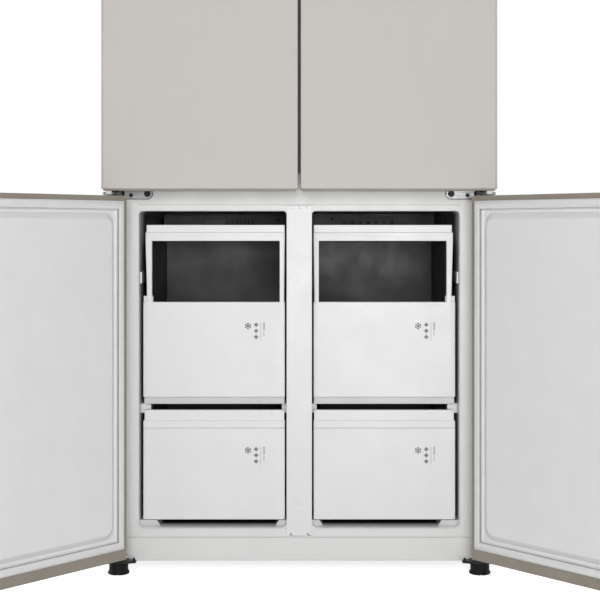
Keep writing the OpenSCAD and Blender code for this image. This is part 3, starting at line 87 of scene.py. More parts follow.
Colour = tuple[int, int, int]
Pair = tuple[float, float]
Triple = tuple[float, float, float]
Stroke = Triple
Outline = Sequence[Pair]
Place = Callable[[Vector], Vector]
Pick = Callable[[Vector], bool]
Piece = bpy.types.Object
Tree = bpy.types.NodeTree
Socket = bpy.types.NodeSocket
Sockets = Mapping[str, Socket]


class Named(Enum):
    """A choice whose own name is part of the names of nodes and bodies."""

    @property
    def word(self) -> str:
        """The choice's word in those names."""
        return self.name.lower()


class Side(Named):
    """The half of the refrigerator that a piece belongs to."""

    LEFT = -1
    RIGHT = 1


class Level(Named):
    """The row that a door or a drawer belongs to."""

    UPPER = 1
    LOWER = 0


class Axis(Enum):
    """Direction that a turned or drawn form is built along."""

    X = (1, 2, 0)
    Y = (2, 0, 1)
    Z = (0, 1, 2)

    def point(self, a: float, b: float, along: float) -> Vector:
        """Puts two cross coordinates and one along the axis in their places."""
        placed = sorted(zip(self.value, (a, b, along)))
        return Vector([value for _, value in placed])


def drawn(point: Vector) -> Vector:
    """Takes a point of the scene, in metres, to the drawing's millimetres."""
    x, y, z = point
    return Vector((x / MM, (y - FLANGE_Y) / MM, z / MM))


def built(point: Vector) -> Vector:
    """Takes a point of the drawing to its place in the scene, in metres."""
    x, y, z = point
    return Vector((x * MM, y * MM + FLANGE_Y, z * MM))


@dataclass(frozen=True)
class Finish:
    """One finish and how its surface varies.

    The second colour shows in soft clouds or lines over the first. Lengths are in
    millimetres.
    """

    name: str
    slot: str
    colour: Colour
    cloud: Colour
    rough: Pair = (0.4, 0.48)
    metallic: float = 0.0
    cloud_mm: float = 60.0
    stretch: Triple = (1.0, 1.0, 1.0)
    bump_mm: float = 0.02
    bump_size_mm: float = 0.9
    wear: float = 0.0
    wear_colour: Colour = (235, 235, 235)
    dust: float = 0.0
    gloss: float = 0.5
    transmission: float = 0.0
    emission: float = 0.0
    # Painted shade: between the first and the second depth back from the flange, the colour
    # darkens to the painted shade colour.
    fade: Pair | None = None
    fade_colour: Colour = (30, 30, 31)


DOOR_PAINT = Finish(
    "door_paint", "door_paint", (202, 198, 194), (201, 197, 192), rough=(0.52, 0.6),
    cloud_mm=2.4, stretch=(1.0, 1.0, 0.02), bump_mm=0.004, bump_size_mm=0.8)
CABINET_PAINT = Finish(
    "cabinet_paint", "cabinet_paint", (227, 227, 226), (224, 224, 223),
    rough=(0.34, 0.42), bump_mm=0.012, wear=0.2)
TRIM_BROWN = Finish(
    "trim_brown", "trim_brown", (152, 144, 132), (146, 138, 126), rough=(0.42, 0.52),
    bump_size_mm=0.6, wear=0.25, wear_colour=(170, 162, 152))
LINER = Finish(
    "liner_plastic", "liner_plastic", (233, 233, 233), (230, 230, 230),
    rough=(0.26, 0.36), bump_mm=0.01)
# Painted shade: the white freezer liner darkens with depth into the cabinet, standing in
# for the shade inside.
FREEZER_LINER_PAINTED_SHADE = Finish(
    "freezer_plastic", "liner_plastic", (236, 236, 236), (232, 232, 232),
    rough=(0.3, 0.4), bump_mm=0.01, fade=(34.0, 125.0), fade_colour=(46, 46, 47))
# Painted light and shade: a lighter copy of the freezer liner for the floors, brightened as
# painted light, that darkens sooner with depth as painted shade.
FREEZER_FLOOR_PAINTED_LIGHT_AND_SHADE = replace(
    FREEZER_LINER_PAINTED_SHADE, name="freezer_floor", colour=(240, 240, 240), cloud=(236, 236, 236),
    fade=(26.0, 64.0), fade_colour=(40, 40, 41))
DOOR_LINER = Finish(
    "door_back_plastic", "liner_plastic", (242, 242, 242), (239, 239, 239),
    rough=(0.3, 0.4), bump_mm=0.01)
DRAWER_PLASTIC = Finish(
    "drawer_plastic", "drawer_plastic", (234, 234, 235), (231, 231, 232),
    rough=(0.3, 0.38), bump_mm=0.015, bump_size_mm=0.7)
# Painted shade: a darker copy of the drawer plastic for the band under the upper drawers'
# panels and for the runners and ledges on the freezer floor, where shade falls.
DRAWER_PLASTIC_PAINTED_SHADE = replace(
    DRAWER_PLASTIC, name="drawer_band", colour=(208, 208, 209), cloud=(204, 204, 205))
# The baskets are charcoal plastic; their dark grey also paints the shade inside the
# drawers.
BASKET_PLASTIC = Finish(
    "basket_plastic", "basket_plastic", (58, 58, 60), (50, 50, 52), rough=(0.4, 0.5))
DUCT_PLASTIC = Finish(
    "duct_plastic", "duct_plastic", (72, 72, 73), (62, 62, 63), rough=(0.45, 0.55))
GASKET = Finish(
    "gasket_rubber", "gasket_rubber", (238, 238, 238), (234, 234, 234), rough=(0.5, 0.62),
    bump_mm=0.01, cloud_mm=25.0)
# Painted shade: darker rubber in the gasket's groove beside the door's field.
GASKET_GROOVE_PAINTED_SHADE = Finish(
    "gasket_groove", "gasket_rubber", (186, 186, 187), (178, 178, 179), rough=(0.6, 0.7),
    bump_mm=0.01, cloud_mm=25.0, gloss=0.2)
HINGE_STEEL = Finish(
    "hinge_steel", "hinge_steel", (140, 140, 141), (122, 122, 124), rough=(0.3, 0.42),
    metallic=0.85, cloud_mm=3.0, stretch=(0.1, 1.0, 1.0), bump_mm=0.01, wear=0.4)
# Painted shade: the dark rim stands in for the shaded outline round a hinge plate; its
# rubbed edges are wear.
HINGE_RIM_PAINTED_SHADE = Finish(
    "dark_hinge_edge", "hinge_steel", (98, 98, 100), (84, 84, 86), rough=(0.35, 0.5),
    metallic=0.5, bump_mm=0.01, wear=0.3, wear_colour=(180, 180, 180), gloss=0.2)
ZINC = Finish(
    "zinc_steel", "zinc_steel", (178, 181, 184), (158, 162, 166), rough=(0.34, 0.5),
    metallic=0.7, cloud_mm=14.0, bump_mm=0.01, dust=0.2)
BLACK_PLASTIC = Finish(
    "black_plastic", "black_plastic", (22, 22, 23), (17, 17, 18), rough=(0.45, 0.6),
    wear=0.25, wear_colour=(48, 48, 50), dust=0.05, gloss=0.12)
BLACK_PAINT = Finish(
    "black_paint", "black_paint", (22, 22, 23), (17, 17, 18), rough=(0.3, 0.45),
    wear=0.25, wear_colour=(52, 52, 56), dust=0.06, gloss=0.2)
BLACK_RUBBER = Finish(
    "black_rubber", "black_rubber", (24, 24, 24), (17, 17, 17), rough=(0.7, 0.85),
    dust=0.25)
FIN_METAL = Finish(
    "fin_aluminium", "fin_aluminium", (196, 199, 203), (176, 180, 185), rough=(0.3, 0.45),
    metallic=0.85, stretch=(1.0, 0.1, 1.0), cloud_mm=4.0)
SHELF_GLASS = Finish(
    "shelf_glass", "shelf_glass", (226, 238, 234), (220, 234, 230), rough=(0.02, 0.06),
    transmission=1.0, bump_mm=0.0)
CLEAR_PLASTIC = Finish(
    "clear_plastic", "clear_plastic", (236, 240, 243), (230, 236, 240),
    rough=(0.08, 0.16), transmission=0.85, bump_mm=0.0)
FOAM = Finish(
    "foam", "foam", (226, 208, 158), (206, 186, 132), rough=(0.8, 0.95), cloud_mm=9.0,
    bump_mm=0.6, bump_size_mm=4.0)
LAMP_LENS = Finish(
    "lamp_lens", "lamp_lens", (244, 244, 238), (238, 238, 230), rough=(0.35, 0.45),
    emission=0.25)
MARK_INK = Finish(
    "mark_ink", "drawer_plastic", (44, 44, 48), (54, 54, 58), rough=(0.5, 0.6),
    cloud_mm=4.0)
# Painted shade: a dark face on the upper centre post, between the upper doors' gaskets,
# where the gap between the doors lies in shade.
POST_FACE_PAINTED_SHADE = Finish(
    "post_face", "liner_plastic", (106, 106, 108), (98, 98, 100), rough=(0.4, 0.5),
    bump_mm=0.01)
WHITE_NYLON = Finish(
    "white_nylon", "liner_plastic", (222, 222, 220), (210, 210, 208), rough=(0.35, 0.45),
    wear=0.2)


def linear(colour: Colour) -> tuple[float, float, float, float]:
    """Turns a colour as it shows on a screen into the renderer's linear values.

    Args:
        colour: Red, green and blue from 0 to 255.

    Returns:
        Linear red, green, blue and a full alpha.
    """
    parts = [c / 255 for c in colour]
    out = [p / 12.92 if p <= 0.04045 else ((p + 0.055) / 1.055) ** 2.4 for p in parts]
    return (out[0], out[1], out[2], 1.0)


class Graph:
    """A node tree with short calls for adding and joining nodes."""

    def __init__(self, tree: Tree) -> None:
        """Starts on a tree and empties it."""
        self.tree = tree
        tree.nodes.clear()

    def node(self, kind: str, *links: tuple[str | int, object],
             **settings: object) -> bpy.types.Node:
        """Adds a node, sets its options and fills its inputs.

        Args:
            kind: Type of the node without its common first word.
            links: Pairs of input name or number, and a socket or a plain value.
            settings: Options of the node by their own names.

        Returns:
            The node.
        """
        new = self.tree.nodes.new("ShaderNode" + kind)
        for name, value in settings.items():
            setattr(new, name, value)
        for key, value in links:
            if isinstance(value, Socket):
                self.tree.links.new(value, new.inputs[key])
            else:
                new.inputs[key].default_value = value
        return new

    def math(self, operation: str, a: object, b: object, clamp: bool = False) -> Socket:
        """Adds a math node. Clamped, its result stays between 0 and 1."""
        return self.node("Math", (0, a), (1, b), operation=operation,
                         use_clamp=clamp).outputs[0]

    def blend(self, share: object, a: object, b: object) -> Socket:
        """Mixes two colours by the second one's share."""
        return self.node("Mix", (0, share), (6, a), (7, b), data_type="RGBA").outputs[2]

    def window(self, value: object, low: object, high: object,
               **settings: object) -> Socket:
        """Maps a value's stretch between two bounds onto 0 to 1."""
        return self.node("MapRange", ("Value", value), ("From Min", low),
                         ("From Max", high), **settings).outputs[0]

    def spread(self, value: object, low: float, high: float) -> Socket:
        """Maps a value that runs from 0 to 1 onto a range."""
        return self.node("MapRange", ("Value", value), ("To Min", low),
                         ("To Max", high)).outputs[0]

    def noise(self, place: object, scale: object, detail: float,
              rough: float = 0.5) -> Socket:
        """Adds noise and gives its value."""
        return self.node("TexNoise", ("Vector", place), ("Scale", scale),
                         ("Detail", detail), ("Roughness", rough)).outputs["Fac"]

    def own_place(self) -> Socket:
        """Gives the place of a point on its own piece."""
        return self.node("TexCoord").outputs["Object"]

    def seen(self) -> Socket:
        """Gives 1 where the camera looks, straight or by way of glass or a mirror."""
        ray = self.node("LightPath").outputs
        return self.math("MAXIMUM", ray["Is Camera Ray"], self.math(
            "MAXIMUM", ray["Is Glossy Ray"], ray["Is Transmission Ray"]))


class EffectGroups:
    """Shader groups that several finishes share.

    A window is the stretch of a value that runs from nothing to the full effect.
    """

    cloud_window: Pair = (0.32, 0.68)
    edge_window: Pair = (0.995, 0.85)
    patch_window: Pair = (0.42, 0.66)
    upward_window: Pair = (0.2, 0.95)
    patch_scale: float = 90.0
    dust_scale: float = 35.0

    def __init__(self) -> None:
        """Builds each group once."""
        self.cloud = self._group("cloud_and_relief", self._cloud, ("Tone", "Relief"), {
            "Cloud Scale": 20.0, "Relief Scale": 900.0, "Stretch": (1.0, 1.0, 1.0)})
        self.wear = self._group("edge_wear", self._wear, ("Mask",),
                                {"Radius": 0.001, "Amount": 0.3})
        self.dust = self._group("settled_dust", self._dust, ("Mask",), {"Amount": 0.2})
        # Painted shade that deepens with the depth into the cabinet.
        self.depth = self._group("depth_into_cabinet", self._depth, ("Mask",),
                                 {"Near": 0.0, "Far": 1.0})

    @staticmethod
    def _group(name: str, effect: Callable[[Graph, Sockets], Sequence[Socket]],
               gives: Sequence[str], takes: dict[str, object]) -> Tree:
        """Makes a group with its sockets round an effect.

        Args:
            name: Name of the group.
            effect: Adds the effect's nodes and gives the sockets that hold its results.
            gives: Names of the outputs, in the order of the results.
            takes: First values of the inputs by name.

        Returns:
            The group.
        """
        group = bpy.data.node_groups.new(name, "ShaderNodeTree")
        for word, value in takes.items():
            kind = "Float" if isinstance(value, float) else "Vector"
            group.interface.new_socket(name=word, in_out="INPUT", socket_type=
                                       "NodeSocket" + kind).default_value = value
        for word in gives:
            group.interface.new_socket(name=word, in_out="OUTPUT",
                                       socket_type="NodeSocketFloat")
        results = effect(Graph(group), group.nodes.new("NodeGroupInput").outputs)
        given = group.nodes.new("NodeGroupOutput")
        for word, result in zip(gives, results):
            group.links.new(result, given.inputs[word])
        return group

    def _cloud(self, graph: Graph, takes: Sockets) -> Sequence[Socket]:
        """Adds soft clouds of tone and a fine relief, both on the piece's own place.

        Args:
            graph: Graph of the group.
            takes: The group's inputs.

        Returns:
            Tone and relief.
        """
        place = graph.node("VectorMath", (0, graph.own_place()), (1, takes["Stretch"]),
                           operation="MULTIPLY").outputs[0]
        cloud = graph.noise(place, takes["Cloud Scale"], detail=4.0, rough=0.55)
        relief = graph.noise(place, takes["Relief Scale"], detail=2.0)
        return graph.window(cloud, *self.cloud_window), relief

    def _wear(self, graph: Graph, takes: Sockets) -> Sequence[Socket]:
        """Adds light rubbing along edges, broken up by noise.

        Args:
            graph: Graph of the group.
            takes: The group's inputs.

        Returns:
            The rubbed share.
        """
        rounded = graph.node("Bevel", ("Radius", takes["Radius"]), samples=4).outputs[0]
        flat = graph.node("NewGeometry").outputs["Normal"]
        same = graph.node("VectorMath", (0, rounded), (1, flat),
                          operation="DOT_PRODUCT").outputs["Value"]
        patch = graph.noise(graph.own_place(), self.patch_scale, detail=3.0)
        rubbed = graph.math("MULTIPLY", graph.window(same, *self.edge_window),
                            graph.window(patch, *self.patch_window))
        return (graph.math("MULTIPLY", rubbed, takes["Amount"], clamp=True),)

    def _dust(self, graph: Graph, takes: Sockets) -> Sequence[Socket]:
        """Adds dust that settles on faces that look up.

        Args:
            graph: Graph of the group.
            takes: The group's inputs.

        Returns:
            The dusty share.
        """
        normal = graph.node("NewGeometry").outputs["Normal"]
        up = graph.node("SeparateXYZ", (0, normal)).outputs["Z"]
        patch = graph.noise(graph.own_place(), self.dust_scale, detail=6.0, rough=0.65)
        settled = graph.math("MULTIPLY", graph.window(up, *self.upward_window), patch)
        return (graph.math("MULTIPLY", settled, takes["Amount"], clamp=True),)

    def _depth(self, graph: Graph, takes: Sockets) -> Sequence[Socket]:
        """Gives a painted shade's share, from 0 to 1 with the depth into the cabinet."""
        deep = graph.node("SeparateXYZ", (0, graph.own_place())).outputs["Y"]
        return (graph.window(deep, takes["Near"], takes["Far"],
                             interpolation_type="SMOOTHSTEP"),)


@dataclass
class MaterialLibrary:
    """Makes each finish's material once and hands it out."""

    groups: EffectGroups = field(default_factory=EffectGroups)
    made: dict[str, bpy.types.Material] = field(default_factory=dict)
    wear_radius: float = 1.2
    dust_colour: Colour = (168, 164, 156)
    dust_rough: float = 0.3

    def get(self, finish: Finish) -> bpy.types.Material:
        """Finds or makes a finish's material.

        Args:
            finish: The finish.

        Returns:
            Its material.
        """
        if finish.name not in self.made:
            self.made[finish.name] = self._make(finish)
        return self.made[finish.name]

    def _group(self, graph: Graph, tree: Tree,
               values: dict[str, object]) -> bpy.types.Node:
        """Places a shared group in a material with its own values.

        Args:
            graph: Graph of the material.
            tree: The group.
            values: Its inputs by name.

        Returns:
            The group's node.
        """
        placed = graph.node("Group", node_tree=tree)
        for word, value in values.items():
            placed.inputs[word].default_value = value
        return placed

    def _make(self, finish: Finish) -> bpy.types.Material:
        """Builds the node tree of a finish.

        Args:
            finish: The finish.

        Returns:
            The new material.
        """
        material = bpy.data.materials.new(finish.name)
        material.use_nodes = True
        material.diffuse_color = linear(finish.colour)
        graph = Graph(material.node_tree)
        cloud = self._group(graph, self.groups.cloud, {
            "Cloud Scale": 1 / (finish.cloud_mm * MM),
            "Relief Scale": 1 / (finish.bump_size_mm * MM),
            "Stretch": finish.stretch})
        tone = cloud.outputs["Tone"]
        colour = graph.blend(tone, linear(finish.colour), linear(finish.cloud))
        rough = graph.spread(tone, *finish.rough)
        if finish.wear:
            wear = self._group(graph, self.groups.wear, {
                "Radius": self.wear_radius * MM, "Amount": finish.wear})
            colour = graph.blend(wear.outputs["Mask"], colour,
                                 linear(finish.wear_colour))
        if finish.dust:
            dust = self._group(graph, self.groups.dust, {"Amount": finish.dust})
            colour = graph.blend(dust.outputs["Mask"], colour,
                                 linear(self.dust_colour))
            rough = graph.math("ADD", rough, graph.math(
                "MULTIPLY", dust.outputs["Mask"], self.dust_rough), clamp=True)
        # Painted shade: the colour darkens with the depth into the cabinet.
        if finish.fade:
            near, far = (y * MM + FLANGE_Y for y in finish.fade)
            depth = self._group(graph, self.groups.depth, {"Near": near, "Far": far})
            colour = graph.blend(depth.outputs["Mask"], colour,
                                 linear(finish.fade_colour))
        shader = graph.node("BsdfPrincipled", ("Base Color", colour),
                            ("Roughness", rough), ("Metallic", finish.metallic),
                            ("Specular IOR Level", finish.gloss),
                            ("Transmission Weight", finish.transmission))
        if finish.emission:
            graph.tree.links.new(colour, shader.inputs["Emission Color"])
            shader.inputs["Emission Strength"].default_value = finish.emission
        if finish.bump_mm:
            bump = graph.node("Bump", ("Strength", 1.0),
                              ("Distance", finish.bump_mm * MM),
                              ("Height", cloud.outputs["Relief"]))
            graph.tree.links.new(bump.outputs[0], shader.inputs["Normal"])
        graph.node("OutputMaterial", ("Surface", shader.outputs[0]))
        return material


@dataclass(frozen=True)
class Swing:
    """Carries a point of a right-hand door, drawn shut, to where it stands at rest."""

    side: Side
    angle: float = 0.0
    axis_x: float = 402.0
    axis_y: float = -50.1

    def __call__(self, point: Vector) -> Vector:
        """Turns a point of the drawing about the hinge and mirrors it for the left half."""
        x, y = self._turned(point.x, point.y, 1)
        return Vector((self.side.value * x, y, point.z))

    def shut(self, point: Vector) -> Vector:
        """Takes a point at rest back to where it is drawn."""
        x, y = self._turned(self.side.value * point.x, point.y, -1)
        return Vector((x, y, point.z))

    def _turned(self, x: float, y: float, way: int) -> Pair:
        """Turns a place about the hinge.

        Args:
            x: Place across.
            y: Place back from the flange.
            way: 1 to open the door, -1 to shut it.

        Returns:
            The new place across and back.
        """
        turn = way * math.radians(self.angle)
        x, y = x - self.axis_x, y - self.axis_y
        return (self.axis_x + x * math.cos(turn) - y * math.sin(turn),
                self.axis_y + x * math.sin(turn) + y * math.cos(turn))


class Form:
    """A mesh under construction, in the drawing's millimetres."""

    def __init__(self) -> None:
        """Starts empty."""
        self.mesh = bmesh.new()

    def skin(self, rings: Sequence[Sequence[Vector]], wrap: bool = False) -> "Form":
        """Skins a row of closed rings that have the same number of points.

        Args:
            rings: The rings in order.
            wrap: Whether the last ring joins the first. Otherwise both ends close.

        Returns:
            This form.
        """
        rows = [[self.mesh.verts.new(p) for p in ring] for ring in rings]
        for a, b in zip(rows, rows[1:] + rows[:1] if wrap else rows[1:]):
            for i in range(len(a)):
                j = (i + 1) % len(a)
                self.mesh.faces.new((a[i], a[j], b[j], b[i]))
        if not wrap:
            self.mesh.faces.new(rows[0][::-1])
            self.mesh.faces.new(rows[-1])
        return self

    def prism(self, axis: Axis, outline: Outline, low: float, high: float) -> "Form":
        """Adds an outline of cross points drawn out along an axis."""
        return self.skin([[axis.point(a, b, at) for a, b in outline]
                          for at in (low, high)])

    def slab(self, low: Sequence[float], high: Sequence[float]) -> "Form":
        """Adds a block between its lowest and its highest corner."""
        return self.prism(Axis.Z, [(low[0], low[1]), (high[0], low[1]),
                                   (high[0], high[1]), (low[0], high[1])],
                          low[2], high[2])

    def turned(self, axis: Axis, at: Pair, profile: Outline) -> "Form":
        """Adds a profile turned about an axis.

        Args:
            axis: The axis.
            at: Cross coordinates of the centre.
            profile: Pairs of radius and place along the axis.

        Returns:
            This form.
        """
        def ring(radius: float, along: float) -> list[Vector]:
            """Points round the axis at one place."""
            return [axis.point(at[0] + radius * math.cos(a),
                               at[1] + radius * math.sin(a), along)
                    for a in (math.tau * i / ROUND_STEPS for i in range(ROUND_STEPS))]
        return self.skin([ring(r, h) for r, h in profile])

    def band(self, axis: Axis, outer: Outline, inner: Outline, low: float,
             high: float) -> "Form":
        """Adds a closed band, thick along an axis, between two outlines of one length."""
        rows = ((outer, low), (outer, high), (inner, high), (inner, low))
        return self.skin([[axis.point(a, b, at) for a, b in line]
                          for line, at in rows], wrap=True)

    def mapped(self, change: Place) -> "Form":
        """Moves every point.

        Args:
            change: Gives the new place of a point.

        Returns:
            This form.
        """
        for vert in self.mesh.verts:
            vert.co = change(vert.co.copy())
        return self

    def softened(self, width: float, segments: int = 2) -> "Form":
        """Rounds the edges at which the surface folds.

        Args:
            width: Width of the rounding.
            segments: Facets across it.

        Returns:
            This form.
        """
        edges = [e for e in self.mesh.edges if len(e.link_faces) == 2
                 and e.calc_face_angle(0.0) > math.radians(FOLD_ANGLE)]
        if edges and width:
            bmesh.ops.bevel(self.mesh, geom=edges, offset=width,
                            offset_type="OFFSET", segments=segments, profile=0.5,
                            affect="EDGES", clamp_overlap=False)
        return self

    def object(self, name: str, crease: float = 32.0) -> Piece:
        """Turns the form into an object in the scene's metres.

        Args:
            name: Name of the piece.
            crease: Least angle in degrees that stays sharp.

        Returns:
            The object.
        """
        self.mapped(built)
        bmesh.ops.recalc_face_normals(self.mesh, faces=self.mesh.faces)
        data = bpy.data.meshes.new(name)
        self.mesh.to_mesh(data)
        self.mesh.free()
        data.shade_smooth()
        data.set_sharp_from_angle(angle=math.radians(crease))
        made = bpy.data.objects.new(name, data)
        bpy.context.scene.collection.objects.link(made)
        weighted = made.modifiers.new("even_normals", "WEIGHTED_NORMAL")
        weighted.keep_sharp = True
        return made


def turns(first: float, last: float, steps: int) -> list[float]:
    """Gives angles in radians, in equal steps from one to another in degrees."""
    return [math.radians(first + (last - first) * i / steps) for i in range(steps + 1)]


def form_of(node: str) -> Form:
    """Takes up a copy of a solid's mesh with its flat faces made whole.

    Args:
        node: Name of the CAD node.

    Returns:
        The form, in the drawing's millimetres.
    """
    form = Form()
    form.mesh.from_mesh(frame["nodes"][node].data)
    form.mapped(drawn)
    bmesh.ops.remove_doubles(form.mesh, verts=form.mesh.verts, dist=WELD)
    bmesh.ops.dissolve_limit(form.mesh, angle_limit=math.radians(FLAT_ANGLE),
                             verts=form.mesh.verts, edges=form.mesh.edges)
    return form


def body_of(node: str) -> str:
    """Finds the body that a CAD node belongs to."""
    return frame["nodes"][node]["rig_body"]


@dataclass(frozen=True)
class Dress:
    """How a solid is dressed.

    The edge is the width that its edges are rounded by. The second finish goes on the
    faces that the pick names, and the change shapes the solid before its edges are
    rounded.
    """

    node: str
    finish: Finish
    edge: float = EDGE
    second: Finish | None = None
    pick: Pick | None = None
    change: Callable[[Form], None] | None = None
    segments: int = 2


@dataclass
class Workshop:
    """Finishes pieces, lets them ride and keeps count."""

    library: MaterialLibrary = field(default_factory=MaterialLibrary)
    count: int = 0

    def place(self, piece: Piece, finish: Finish, body: str) -> Piece:
        """Gives a piece its material and body.

        Args:
            piece: The piece.
            finish: Its finish.
            body: The body that it rides on.

        Returns:
            The piece.
        """
        piece.data.materials.clear()
        piece.data.materials.append(self.library.get(finish))
        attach(piece, body)
        self.count += 1
        LOG.info("%s on %s in %s", piece.name, body, finish.name)
        return piece

    def tint(self, piece: Piece, finish: Finish, pick: Pick) -> None:
        """Gives some faces of a piece a second finish.

        Args:
            piece: The piece.
            finish: The second finish.
            pick: Tells by a face's middle, in the drawing's millimetres, whether the
                face takes it.
        """
        piece.data.materials.append(self.library.get(finish))
        for face in piece.data.polygons:
            if pick(drawn(face.center)):
                face.material_index = 1

    def dress(self, *dresses: Dress) -> None:
        """Dresses solids: their own shapes with softened edges and finishes.

        Args:
            dresses: The solids and how each is dressed.
        """
        for dress in dresses:
            form = form_of(dress.node)
            if dress.change:
                dress.change(form)
            form.softened(dress.edge, dress.segments)
            piece = form.object(dress.node + "_dressed")
            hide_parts(dress.node)
            self.place(piece, dress.finish, body_of(dress.node))
            if dress.second:
                self.tint(piece, dress.second, dress.pick)

    def rebuild(self, form: Form, node: str, finish: Finish, crease: float = 32.0) -> Piece:
        """Lets a new form stand for a solid.

        Args:
            form: The new form.
            node: Name of the CAD node that it replaces.
            finish: Its finish.
            crease: Least angle in degrees that stays sharp.

        Returns:
            The piece.
        """
        piece = form.object(node + "_formed", crease)
        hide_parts(node)
        return self.place(piece, finish, body_of(node))

    def add(self, form: Form, name: str, finish: Finish, node: str) -> None:
        """Adds a piece that has no solid of its own and rides with a node."""
        self.place(form.object(name), finish, body_of(node))


@dataclass
class Cabinet:
    """The painted cabinet, its linings, foam, crossbar, posts and base."""

    shop: Workshop
    sheet_edge: float = 0.3
    seam_edge: float = 2.0
    half_w: float = 415.4
    cover_y: Pair = (-0.5, 0.2)
    cover_z: Pair = (783.4, 849.5)
    post_x: float = 27.3
    post_front: float = 0.3
    wall_x: float = 345.0
    floor_z: float = 87.9
    top_z: float = 769.9
    sink: float = 0.5
    corner_r: Pair = (12.5, 9.5)
    corner_steps: int = 8
    corner_lap: float = 1.5
    filler_y: Pair = (1.2, 16.5)
    guide_w: Pair = (12.0, 11.5)
    guide_y: Pair = (24.2, 70.0)
    guide_h: float = 12.1
    back_screws_y: float = 70.0

    def build(self) -> None:
        """Dresses the cabinet's solids and adds the forms between them."""
        self.shop.dress(
            Dress("cabinet_shell", CABINET_PAINT, self.sheet_edge),
            Dress("rear_panel", CABINET_PAINT, self.sheet_edge),
            Dress("insulation_foam", FOAM, edge=0.0),
            Dress("fridge_liner", LINER),
            # The freezer liners darken with depth as painted shade, and their floors take a
            # lighter copy with their own painted shade.
            Dress("freezer_liners", FREEZER_LINER_PAINTED_SHADE, second=FREEZER_FLOOR_PAINTED_LIGHT_AND_SHADE,
                  pick=lambda at: at.z < self.floor_z + self.sink),
            # Painted shade on the upper post's face between the doors.
            Dress("centre_posts", LINER, edge=0.8, second=POST_FACE_PAINTED_SHADE,
                  pick=lambda at: at.z > self.cover_z[1] and at.y < self.post_front),
            Dress("crossbar", CABINET_PAINT, self.seam_edge),
            Dress("base_front_panel", CABINET_PAINT, self.sheet_edge),
            Dress("base_frame", BLACK_PAINT, FINE_EDGE),
            Dress("cabinet_screws", HINGE_STEEL, FINE_EDGE, second=BLACK_PAINT,
                  pick=lambda at: at.y > self.back_screws_y),
            Dress("control_box", BLACK_PLASTIC, edge=1.0))
        for name, form, finish in (
                ("crossbar_cover", self._cover(), CABINET_PAINT),
                ("freezer_corner_fillers", self._corners(), LINER),
                # The floor ledges take the darker drawer plastic as painted shade.
                ("freezer_floor_guides", self._guides(), DRAWER_PLASTIC_PAINTED_SHADE)):
            self.shop.add(form, name, finish, "crossbar")

    def _cover(self) -> Form:
        """Draws the crossbar's painted face, which runs on to the cabinet's sides."""
        corners = [(side.value * self.half_w, y, z)
                   for side, y, z in zip(Side, self.cover_y, self.cover_z)]
        return Form().slab(*corners).softened(FINE_EDGE)

    def _corners(self) -> Form:
        """Fills the corners between the liners' round edges and the centre post.

        Returns:
            The four fillers.
        """
        form = Form()
        start = self.post_x - self.corner_lap
        for side in Side:
            for level, radius, up in (
                    (self.floor_z - self.corner_lap, self.corner_r[0], 1),
                    (self.top_z + self.corner_lap, self.corner_r[1], -1)):
                outline = [(level, start)] + [
                    (level + up * radius * (1 - math.cos(t)),
                     start + radius * (1 - math.sin(t)))
                    for t in turns(0.0, 90.0, self.corner_steps)]
                form.prism(Axis.Y, [(z, side.value * x) for z, x in outline],
                           *self.filler_y)
        return form

    def _guides(self) -> Form:
        """Draws the ledges that join the floor runners to the walls beside them.

        Returns:
            The four ledges.
        """
        form = Form()
        for side in Side:
            for near, far in ((self.post_x, self.post_x + self.guide_w[0]),
                              (self.wall_x - self.guide_w[1], self.wall_x)):
                low, high = sorted((side.value * near, side.value * far))
                form.slab((low, self.guide_y[0], self.floor_z - self.sink),
                          (high, self.guide_y[1], self.floor_z + self.guide_h))
        return form.softened(EDGE)


